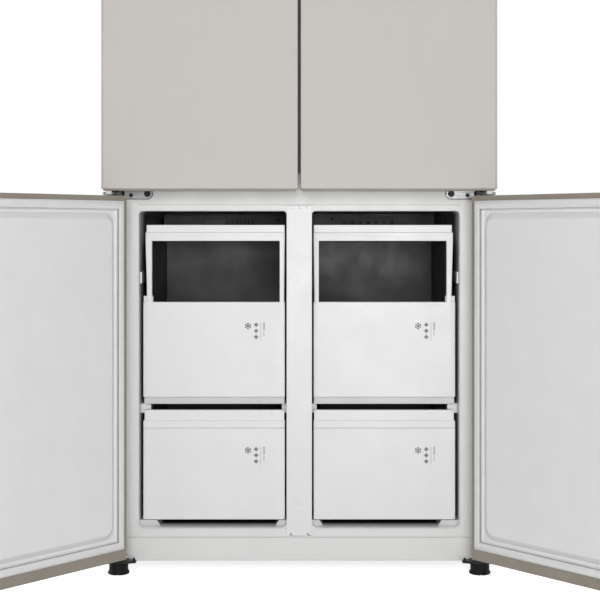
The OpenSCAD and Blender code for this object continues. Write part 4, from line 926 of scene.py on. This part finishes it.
@dataclass
class Hinges:
    """Top, middle and bottom hinges with the fittings on the middle ones.

    A fitting's shape is a row of radii, each with how far it stands out from the plate.
    A screw head gives how far in from its radius instead, and its recess shares of it.
    """

    shop: Workshop
    plate_x: Pair = (314.0, 414.0)
    plate_z: Pair = (794.5, 819.5)
    plate_face: float = -4.0
    rim: Pair = (2.2, 1.0)
    rim_steps: int = 12
    rim_edge: float = 0.35
    head_r: Pair = (7.2, 4.4)
    head: Outline = ((0.0, -0.2), (0.0, 0.9), (0.7, 1.5))
    recess: Outline = ((0.52, 1.6), (0.42, 1.1), (0.1, 1.0))
    screw_x: float = 361.7
    screw_drop: float = 3.5
    rivet_x: float = 385.0
    collar: Outline = ((5.2, 0.0), (9.6, 0.0), (9.6, 0.8), (9.0, 1.4), (5.2, 1.4))
    bead: Outline = ((4.6, 2.2), (4.6, 2.8), (3.6, 3.4), (1.6, 3.7))
    cam_x: Pair = (395.0, 407.0)
    cam_y: Pair = (-67.6, -62.5)
    cam_z: Pair = (804.0, 811.6)
    cam_edge: float = 1.0

    @property
    def mid(self) -> float:
        """Height of a plate's middle."""
        return sum(self.plate_z) / 2

    @property
    def end(self) -> float:
        """Radius of a plate's round end."""
        return (self.plate_z[1] - self.plate_z[0]) / 2

    def build(self) -> None:
        """Dresses the hinges and adds rims, screws, collars, beads and cams."""
        self.shop.dress(Dress("middle_hinges", HINGE_STEEL),
                        Dress("top_hinges", HINGE_STEEL),
                        Dress("bottom_hinges", BLACK_PAINT, edge=0.5))
        for side in Side:
            rivet = side.value * self.rivet_x
            for name, form, finish in (
                    # The rim's dark finish is painted shade round the plate's outline.
                    ("rim", self._rim(side), HINGE_RIM_PAINTED_SHADE),
                    ("screws", self._screws(side), BLACK_PAINT),
                    ("collar", self._fitting(Form(), rivet, self.mid, self.collar),
                     BLACK_PLASTIC),
                    ("bead", self._fitting(Form(), rivet, self.mid, self.bead),
                     WHITE_NYLON),
                    ("cam", self._cam(side), WHITE_NYLON)):
                self.shop.add(form, f"hinge_{name}_{side.word}", finish, "middle_hinges")

    def _rim(self, side: Side) -> Form:
        """Draws the raised rim round a hinge's wall plate, dark as painted shade.

        Args:
            side: The half.

        Returns:
            The rim.
        """
        def outline(inset: float) -> list[Pair]:
            """The plate's outline, Z and X, drawn in by an inset."""
            radius = self.end - inset
            centre = self.plate_x[0] + self.end
            tail = self.plate_x[1] - inset
            points = [(self.mid + radius * math.sin(t), centre + radius * math.cos(t))
                      for t in turns(90.0, 270.0, self.rim_steps)]
            points += [(self.mid - radius, tail), (self.mid + radius, tail)]
            return [(z, side.value * x) for z, x in points]
        return Form().band(Axis.Y, outline(0.0), outline(self.rim[0]), self.plate_face,
                           self.plate_face - self.rim[1]).softened(self.rim_edge)

    def _fitting(self, form: Form, x: float, z: float, shape: Outline) -> Form:
        """Turns a fitting that stands out from the plate at a place across and up."""
        return form.turned(Axis.Y, (z, x), [(r, self.plate_face - out)
                                            for r, out in shape])

    def _screws(self, side: Side) -> Form:
        """Draws the two dark screw heads of a plate, each with a round recess.

        Args:
            side: The half.

        Returns:
            The heads.
        """
        form = Form()
        places = ((self.plate_x[0] + self.end, self.mid),
                  (self.screw_x, self.mid - self.screw_drop))
        for (x, z), radius in zip(places, self.head_r):
            shape = [(radius - inward, out) for inward, out in self.head]
            shape += [(radius * share, out) for share, out in self.recess]
            self._fitting(form, side.value * x, z, shape)
        return form

    def _cam(self, side: Side) -> Form:
        """Draws the white closing cam at the end of a hinge's arm."""
        low, high = sorted(side.value * x for x in self.cam_x)
        block = Form().slab((low, self.cam_y[0], self.cam_z[0]),
                            (high, self.cam_y[1], self.cam_z[1]))
        return block.softened(self.cam_edge, segments=3)


@dataclass
class Feet:
    """Levelling feet at the front and rollers at the back."""

    shop: Workshop

    def build(self) -> None:
        """Dresses the feet and rollers."""
        for side in Side:
            self.shop.dress(Dress("front_foot_" + side.word, BLACK_PLASTIC),
                            Dress("rear_roller_" + side.word, BLACK_PLASTIC))


@dataclass(frozen=True)
class FanWheel:
    """An axial fan with cambered, swept blades on a domed hub.

    The hub's two halves are rows of radii, each with how far in from its end of the hub.
    Chord, rise and camber are those of a blade at its root or middle, and the shares say
    how much of them is lost towards the tip and the edges.
    """

    axis: Axis
    at: Pair
    along: Pair
    radius: float
    blades: int = 5
    hub_back: Outline = ((4.0, 0.0), (11.5, 0.0), (14.0, 2.0))
    hub_dome: Outline = ((14.0, 3.5), (12.0, 1.0), (5.0, 0.0))
    sections: tuple[float, ...] = (0.2, 0.35, 0.5, 0.65, 0.8, 0.92, 1.0)
    half_chord: float = 31.0
    root_chord: float = 0.8
    tip_from: float = 0.8
    tip_loss: float = 0.45
    sweep: float = 16.0
    rise: float = 0.8
    camber: float = 0.25
    root_rise: float = 1.05
    rise_loss: float = 0.35
    thick: float = 1.3
    edge_loss: float = 0.6
    half_steps: int = 4

    def form(self) -> Form:
        """Draws the wheel.

        Returns:
            Its form.
        """
        low, high = self.along
        form = Form().turned(self.axis, self.at, [
            (r, low + inward) for r, inward in self.hub_back] + [
            (r, high - inward) for r, inward in self.hub_dome])
        for blade in range(self.blades):
            form.skin([self._section(blade, share) for share in self.sections])
        return form

    def _section(self, blade: int, share: float) -> list[Vector]:
        """Draws a blade's section at one radius.

        Args:
            blade: Number of the blade.
            share: The section's share of the wheel's radius.

        Returns:
            Closed ring of points.
        """
        low, high = self.along
        middle, reach = (low + high) / 2, (high - low) / 2 - self.thick
        past = max(0.0, share - self.tip_from) / (1.0 - self.tip_from)
        chord = (self.half_chord * (1.0 - self.tip_loss * past)
                 * (self.root_chord + (1.0 - self.root_chord) * share))
        height = reach * (self.root_rise - self.rise_loss * share)
        radius = self.radius * share
        steps = [k / self.half_steps for k in range(-self.half_steps,
                                                    self.half_steps + 1)]
        ring = []
        for face, order in ((0.5, steps), (-0.5, steps[::-1])):
            for k in order:
                turn = math.radians(360 * blade / self.blades + self.sweep * share
                                    + chord * k)
                lift = height * (self.rise * k + self.camber * (1 - k * k))
                edge = self.thick * (1.0 - self.edge_loss * k * k)
                ring.append(self.axis.point(
                    self.at[0] + radius * math.cos(turn),
                    self.at[1] + radius * math.sin(turn), middle + lift + face * edge))
        return ring


@dataclass
class Machinery:
    """Compressor, condenser, fan, drip tray and rear cover."""

    shop: Workshop
    wheel: FanWheel = FanWheel(Axis.X, at=(475.0, 127.5), along=(49.0, 67.0),
                               radius=55.0)

    def build(self) -> None:
        """Dresses the machine space."""
        self.shop.dress(Dress("compressor", BLACK_PAINT),
                        Dress("compressor_mounts", BLACK_RUBBER, FINE_EDGE),
                        Dress("condenser_coil", BLACK_PAINT, edge=0.0))
        self.shop.rebuild(self.wheel.form(), "condenser_fan", BLACK_PLASTIC)
        self.shop.dress(Dress("fan_motors", BLACK_PLASTIC),
                        Dress("drip_tray", BLACK_PLASTIC, edge=0.8),
                        Dress("rear_cover", ZINC, edge=0.25),
                        Dress("cord_gland", BLACK_RUBBER, edge=0.5))


@dataclass
class ColdAir:
    """Evaporator, its fan and the duct panels."""

    shop: Workshop
    wheel: FanWheel = FanWheel(Axis.Y, at=(700.0, -186.15), along=(510.0, 522.0),
                               radius=44.0)

    def build(self) -> None:
        """Dresses the air path."""
        self.shop.dress(Dress("evaporator", FIN_METAL, edge=0.0))
        self.shop.rebuild(self.wheel.form(), "evaporator_fan", BLACK_PLASTIC)
        self.shop.dress(Dress("freezer_duct_panels", DUCT_PLASTIC, edge=0.5),
                        Dress("fridge_duct_panel", LINER))


@dataclass
class Interior:
    """Lamp, shelves, crispers and rails."""

    shop: Workshop
    runner_top: float = 101.0

    def build(self) -> None:
        """Dresses the fittings of both compartments."""
        self.shop.dress(
            Dress("ceiling_lamp", LAMP_LENS, edge=1.5, segments=3),
            Dress("glass_shelves", SHELF_GLASS),
            Dress("crisper_drawers", CLEAR_PLASTIC),
            # The rails darken with depth as painted shade, and their low parts take the
            # darker drawer plastic as painted shade.
            Dress("drawer_rails", FREEZER_LINER_PAINTED_SHADE, second=DRAWER_PLASTIC_PAINTED_SHADE,
                  pick=lambda at: at.z < self.runner_top))


@dataclass
class Quarter:
    """A sub-assembly that is there on both sides, in an upper and a lower row."""

    shop: Workshop
    side: Side
    level: Level

    def node(self, part: str) -> str:
        """Puts the name of one of its parts together."""
        return f"{self.level.word}_{part}_{self.side.word}"


@dataclass
class Door(Quarter):
    """One door: skin, end caps, back, gasket and, on an upper door, its bins.

    The gasket's shape is counted inwards from the seal's edge and back from the door.
    """

    open_angle: float = 130.0
    seal_x: Pair = (7.0, 405.0)
    upper_seal: Pair = (826.6, 1855.0)
    lower_seal: Pair = (59.0, 790.4)
    back_y: float = -12.0
    fold: float = 1.4
    seal_shape: Outline = (
        (0.2, 0.0), (0.2, 4.7), (0.8, 5.5), (2.6, 7.5), (5.0, 9.4), (8.2, 10.3),
        (12.6, 10.4), (16.4, 10.3), (17.2, 9.7), (17.4, 7.9), (14.4, 7.4), (14.4, 3.4),
        (17.6, 2.9), (20.6, 2.6), (21.2, 1.6), (21.2, 0.0))
    groove_u: Pair = (14.0, 18.5)
    groove_v: Pair = (2.6, 8.2)

    @property
    def seal_z(self) -> Pair:
        """Lower and upper edge of the gasket."""
        return self.upper_seal if self.level is Level.UPPER else self.lower_seal

    @property
    def swing(self) -> Swing:
        """The door's way at rest: the upper doors are shut, the lower ones open."""
        return Swing(self.side, 0.0 if self.level is Level.UPPER else self.open_angle)

    def build(self) -> None:
        """Dresses the door and forms its gasket."""
        self.shop.dress(
            Dress(self.node("door_skin"), DOOR_PAINT, edge=0.3, second=TRIM_BROWN,
                  pick=self._on_return),
            Dress(self.node("door_caps"), TRIM_BROWN),
            Dress(self.node("door_liner"), DOOR_LINER, edge=1.0))
        seal = self.shop.rebuild(self._gasket(), self.node("door_gasket"), GASKET,
                                 crease=50.0)
        # Painted shade in the gasket's groove.
        self.shop.tint(seal, GASKET_GROOVE_PAINTED_SHADE, self._in_groove)
        if self.level is Level.UPPER:
            self.shop.dress(Dress("door_bins_" + self.side.word, CLEAR_PLASTIC))

    def _on_return(self, place: Vector) -> bool:
        """Tells whether a face lies on the skin's brown returns beside the gasket."""
        return self.swing.shut(place).y > self.back_y - self.fold

    def _in_groove(self, place: Vector) -> bool:
        """Picks faces in the gasket's groove beside the door's field for painted shade.

        Args:
            place: The face's middle.

        Returns:
            True in the groove.
        """
        shut = self.swing.shut(place)
        u = min(shut.x - self.seal_x[0], self.seal_x[1] - shut.x,
                shut.z - self.seal_z[0], self.seal_z[1] - shut.z)
        return (self.groove_u[0] < u < self.groove_u[1] and self.groove_v[0]
                < shut.y - self.back_y < self.groove_v[1])

    def _gasket(self) -> Form:
        """Draws the magnetic gasket round the door with mitred corners.

        Returns:
            The form at rest.
        """
        def ring(across: int, up: int) -> list[Vector]:
            """The gasket's section at a corner."""
            x, z = self.seal_x[across], self.seal_z[up]
            return [Vector((x + (1 - 2 * across) * u, self.back_y + v,
                            z + (1 - 2 * up) * u)) for u, v in self.seal_shape]
        rings = [ring(0, 0), ring(1, 0), ring(1, 1), ring(0, 1)]
        return Form().skin(rings, wrap=True).mapped(self.swing)


@dataclass(frozen=True)
class FrostMarks:
    """Printed marks: a frost crystal, three stars, a fine rule and a short scale.

    A stroke is where it starts, its length and its width. Places across and up are
    counted from the crystal's middle.
    """

    at: Pair
    depth: Pair
    crystal_arms: int = 6
    crystal: Stroke = (0.6, 6.6, 1.5)
    twig: Stroke = (0.0, 2.8, 1.2)
    twig_at: float = 4.4
    twig_lean: float = 50.0
    stars: int = 3
    star_at: Pair = (17.6, 2.6)
    star_gap: float = 13.2
    star_arms: tuple[Stroke, ...] = ((0.7, 4.6, 1.4), (0.7, 3.4, 1.4)) * 4
    rule_at: Pair = (27.8, 7.6)
    rule: Stroke = (0.0, 39.0, 0.5)
    scale_at: Pair = (33.0, 7.0)
    tick_gap: float = 2.2
    ticks: tuple[Stroke, ...] = ((0.0, 3.6, 1.0), (0.0, 3.0, 0.6))
    tick_rows: tuple[range, ...] = (range(8), range(9, 14))

    def form(self) -> Form:
        """Draws the marks.

        Returns:
            The form of all strokes.
        """
        form = Form()
        for arm in range(self.crystal_arms):
            turn = 360.0 * arm / self.crystal_arms
            self._stroke(form, (0.0, 0.0), turn, self.crystal)
            tip = (self.twig_at * math.sin(math.radians(turn)),
                   self.twig_at * math.cos(math.radians(turn)))
            for lean in (-self.twig_lean, self.twig_lean):
                self._stroke(form, tip, turn + lean, self.twig)
        across, up = self.star_at
        for star in range(self.stars):
            for arm, stroke in enumerate(self.star_arms):
                self._stroke(form, (across, up - self.star_gap * star),
                             360.0 * arm / len(self.star_arms), stroke)
        self._stroke(form, self.rule_at, 180.0, self.rule)
        across, up = self.scale_at
        for stroke, rows in zip(self.ticks, self.tick_rows):
            for row in rows:
                self._stroke(form, (across, up - self.tick_gap * row), 90.0, stroke)
        return form

    def _stroke(self, form: Form, away: Pair, turn: float,
                stroke: Stroke) -> None:
        """Prints one straight stroke.

        Args:
            form: The marks' form.
            away: Place across and up that the stroke runs out from.
            turn: Its direction in degrees, counted from upright.
            stroke: The stroke.
        """
        start, length, width = stroke
        out = Vector((math.sin(math.radians(turn)), math.cos(math.radians(turn))))
        aside = Vector((out.y, -out.x)) * width / 2
        base = Vector((self.at[0] + away[0], self.at[1] + away[1]))
        near, far = base + out * start, base + out * (start + length)
        form.prism(Axis.Y, [(c.y, c.x) for c in (near - aside, near + aside,
                                                 far + aside, far - aside)],
                   *self.depth)


@dataclass
class Drawer(Quarter):
    """One freezer drawer: front with its markings, and basket.

    The marks' places are those of the left and right, and of the lower and upper drawers.
    """

    front_x: Pair = (31.2, 338.0)
    front_y: Pair = (20.0, 34.0)
    fall: float = 1.6
    fall_w: float = 13.0
    fall_cuts: tuple[float, ...] = (0.12, 0.3, 0.55, 1.0)
    mark_x: Pair = (-111.1, 257.5)
    mark_z: Pair = (251.5, 521.0)
    ink_out: float = 0.12
    ink_in: float = 0.3
    band_z: Pair = (345.0, 367.0)
    band_y: Pair = (27.0, 31.5)

    def build(self) -> None:
        """Dresses the drawer and prints its frost marks."""
        front = self.node("front")
        # The set-back band under an upper drawer's panel takes a painted shade.
        band = DRAWER_PLASTIC_PAINTED_SHADE if self.level is Level.UPPER else None
        self.shop.dress(
            Dress(front, DRAWER_PLASTIC, edge=1.2, second=band, pick=self._on_band,
                  change=self._fall_back, segments=3),
            Dress(self.node("basket"), BASKET_PLASTIC))
        marks = FrostMarks((self.mark_x[self.side is Side.RIGHT],
                            self.mark_z[self.level.value]),
                           (self.front_y[0] - self.ink_out,
                            self.front_y[0] + self.ink_in))
        self.shop.add(marks.form(), self.node("marks"), MARK_INK, front)

    def _on_band(self, place: Vector) -> bool:
        """Tells whether a face lies on the set-back band, which takes painted shade."""
        return (self.band_z[0] < place.z < self.band_z[1]
                and self.band_y[0] < place.y < self.band_y[1])

    def _fall_back(self, form: Form) -> None:
        """Lets the front fall back softly towards its two sides.

        Args:
            form: The front's form.
        """
        for share in self.fall_cuts:
            for edge, inward in zip(self.front_x, (1, -1)):
                at = self.side.value * (edge + inward * share * self.fall_w)
                bmesh.ops.bisect_plane(
                    form.mesh, geom=[*form.mesh.verts, *form.mesh.edges,
                                     *form.mesh.faces],
                    plane_co=(at, 0, 0), plane_no=(1, 0, 0))
        face, back = self.front_y
        for vert in form.mesh.verts:
            across = abs(vert.co.x)
            near = min(across - self.front_x[0], self.front_x[1] - across) / self.fall_w
            fall = max(0.0, 1.0 - near) ** 2 * self.fall
            vert.co.y += fall * (back - vert.co.y) / (back - face)


@dataclass(frozen=True)
class Lamp:
    """A square soft lamp, its places and size in metres and its power in watts."""

    name: str
    at: Triple
    target: Triple
    size: float
    power: float

    def build(self) -> None:
        """Hangs the lamp up and points it at its target."""
        data = bpy.data.lights.new(self.name, "AREA")
        data.size = self.size
        data.energy = self.power
        lamp = bpy.data.objects.new(self.name, data)
        lamp.location = self.at
        way = Vector(self.target) - Vector(self.at)
        lamp.rotation_euler = way.to_track_quat("-Z", "Y").to_euler()
        bpy.context.scene.collection.objects.link(lamp)


@dataclass
class Studio:
    """World, lamps, floor and camera, in metres."""

    camera_at: Triple = (0.0, FLANGE_Y - 3.0, 0.729)
    lens: float = 83.64
    sensor: float = 36.0
    shift: Pair = (0.00125, -0.1167)
    sight: float = 200.0
    world_light: float = 0.2
    floor_colour: Colour = (238, 238, 238)
    floor_lift: float = 0.8
    floor_size: float = 60.0
    floor_t: float = 0.01
    lamps: tuple[Lamp, ...] = (
        Lamp("key_lamp", (-0.4, -4.8, 2.1), (0.0, 0.0, 0.8), 1.3, 67.0),
        Lamp("fill_lamp", (0.6, -4.9, 0.6), (0.0, 0.0, 0.6), 1.3, 60.0),
        Lamp("left_lamp", (-4.5, 2.2, 2.0), (-0.4, 0.3, 0.9), 2.0, 52.0),
        Lamp("right_lamp", (4.5, 2.2, 2.0), (0.4, 0.3, 0.9), 2.0, 52.0),
        Lamp("back_lamp", (0.0, 5.0, 2.6), (0.0, 0.5, 0.8), 2.0, 52.0),
        Lamp("top_lamp", (0.0, 1.4, 4.6), (0.0, 0.3, 1.9), 1.6, 22.0))

    def build(self) -> None:
        """Sets up the studio."""
        bpy.context.scene.view_settings.view_transform = "Standard"
        self._world()
        self._floor()
        for lamp in self.lamps:
            lamp.build()
        self._camera()

    def _world(self) -> None:
        """Makes the world white all round: full white to the camera, softer as light."""
        world = bpy.data.worlds.new("white_studio")
        world.use_nodes = True
        bpy.context.scene.world = world
        graph = Graph(world.node_tree)
        soft, full = (graph.node("Background", ("Color", (1, 1, 1, 1)),
                                 ("Strength", strength)).outputs[0]
                      for strength in (self.world_light, 1.0))
        mixed = graph.node("MixShader", (0, graph.seen()), (1, soft), (2, full))
        graph.node("OutputWorld", ("Surface", mixed.outputs[0]))

    def _floor(self) -> None:
        """Lays a white floor that keeps the object's shadow."""
        half = self.floor_size / MM / 2
        form = Form().slab((-half, -half, -self.floor_t / MM), (half, half, 0.0))
        floor = form.object("studio_floor")
        material = bpy.data.materials.new("studio_white")
        material.use_nodes = True
        graph = Graph(material.node_tree)
        strength = graph.math("MULTIPLY", graph.seen(), self.floor_lift)
        lift = graph.node("Emission", ("Color", (1, 1, 1, 1)), ("Strength", strength))
        matt = graph.node("BsdfDiffuse", ("Color", linear(self.floor_colour)))
        both = graph.node("AddShader", (0, matt.outputs[0]), (1, lift.outputs[0]))
        graph.node("OutputMaterial", ("Surface", both.outputs[0]))
        floor.data.materials.append(material)

    def _camera(self) -> None:
        """Sets up the camera that took the photograph: level, straight on."""
        data = bpy.data.cameras.new("front_camera")
        data.lens = self.lens
        data.sensor_width = self.sensor
        data.shift_x, data.shift_y = self.shift
        data.clip_end = self.sight
        camera = bpy.data.objects.new("front_camera", data)
        camera.location = self.camera_at
        camera.rotation_euler = (math.radians(90), 0, 0)
        bpy.context.scene.collection.objects.link(camera)
        bpy.context.scene.camera = camera


def main() -> None:
    """Builds the sub-assemblies in order and reports each piece."""
    logging.basicConfig(level=logging.INFO, format="%(name)s: %(message)s")
    LOG.info("flange plane at y = %.6f m", FLANGE_Y)
    Studio().build()
    shop = Workshop()
    for assembly in (Cabinet, Hinges, Feet, Machinery, ColdAir, Interior):
        assembly(shop).build()
    for side in Side:
        for assembly in (Door, Drawer):
            for level in Level:
                assembly(shop, side, level).build()
    LOG.info("%d pieces", shop.count)


if __name__ == "__main__":
    main()
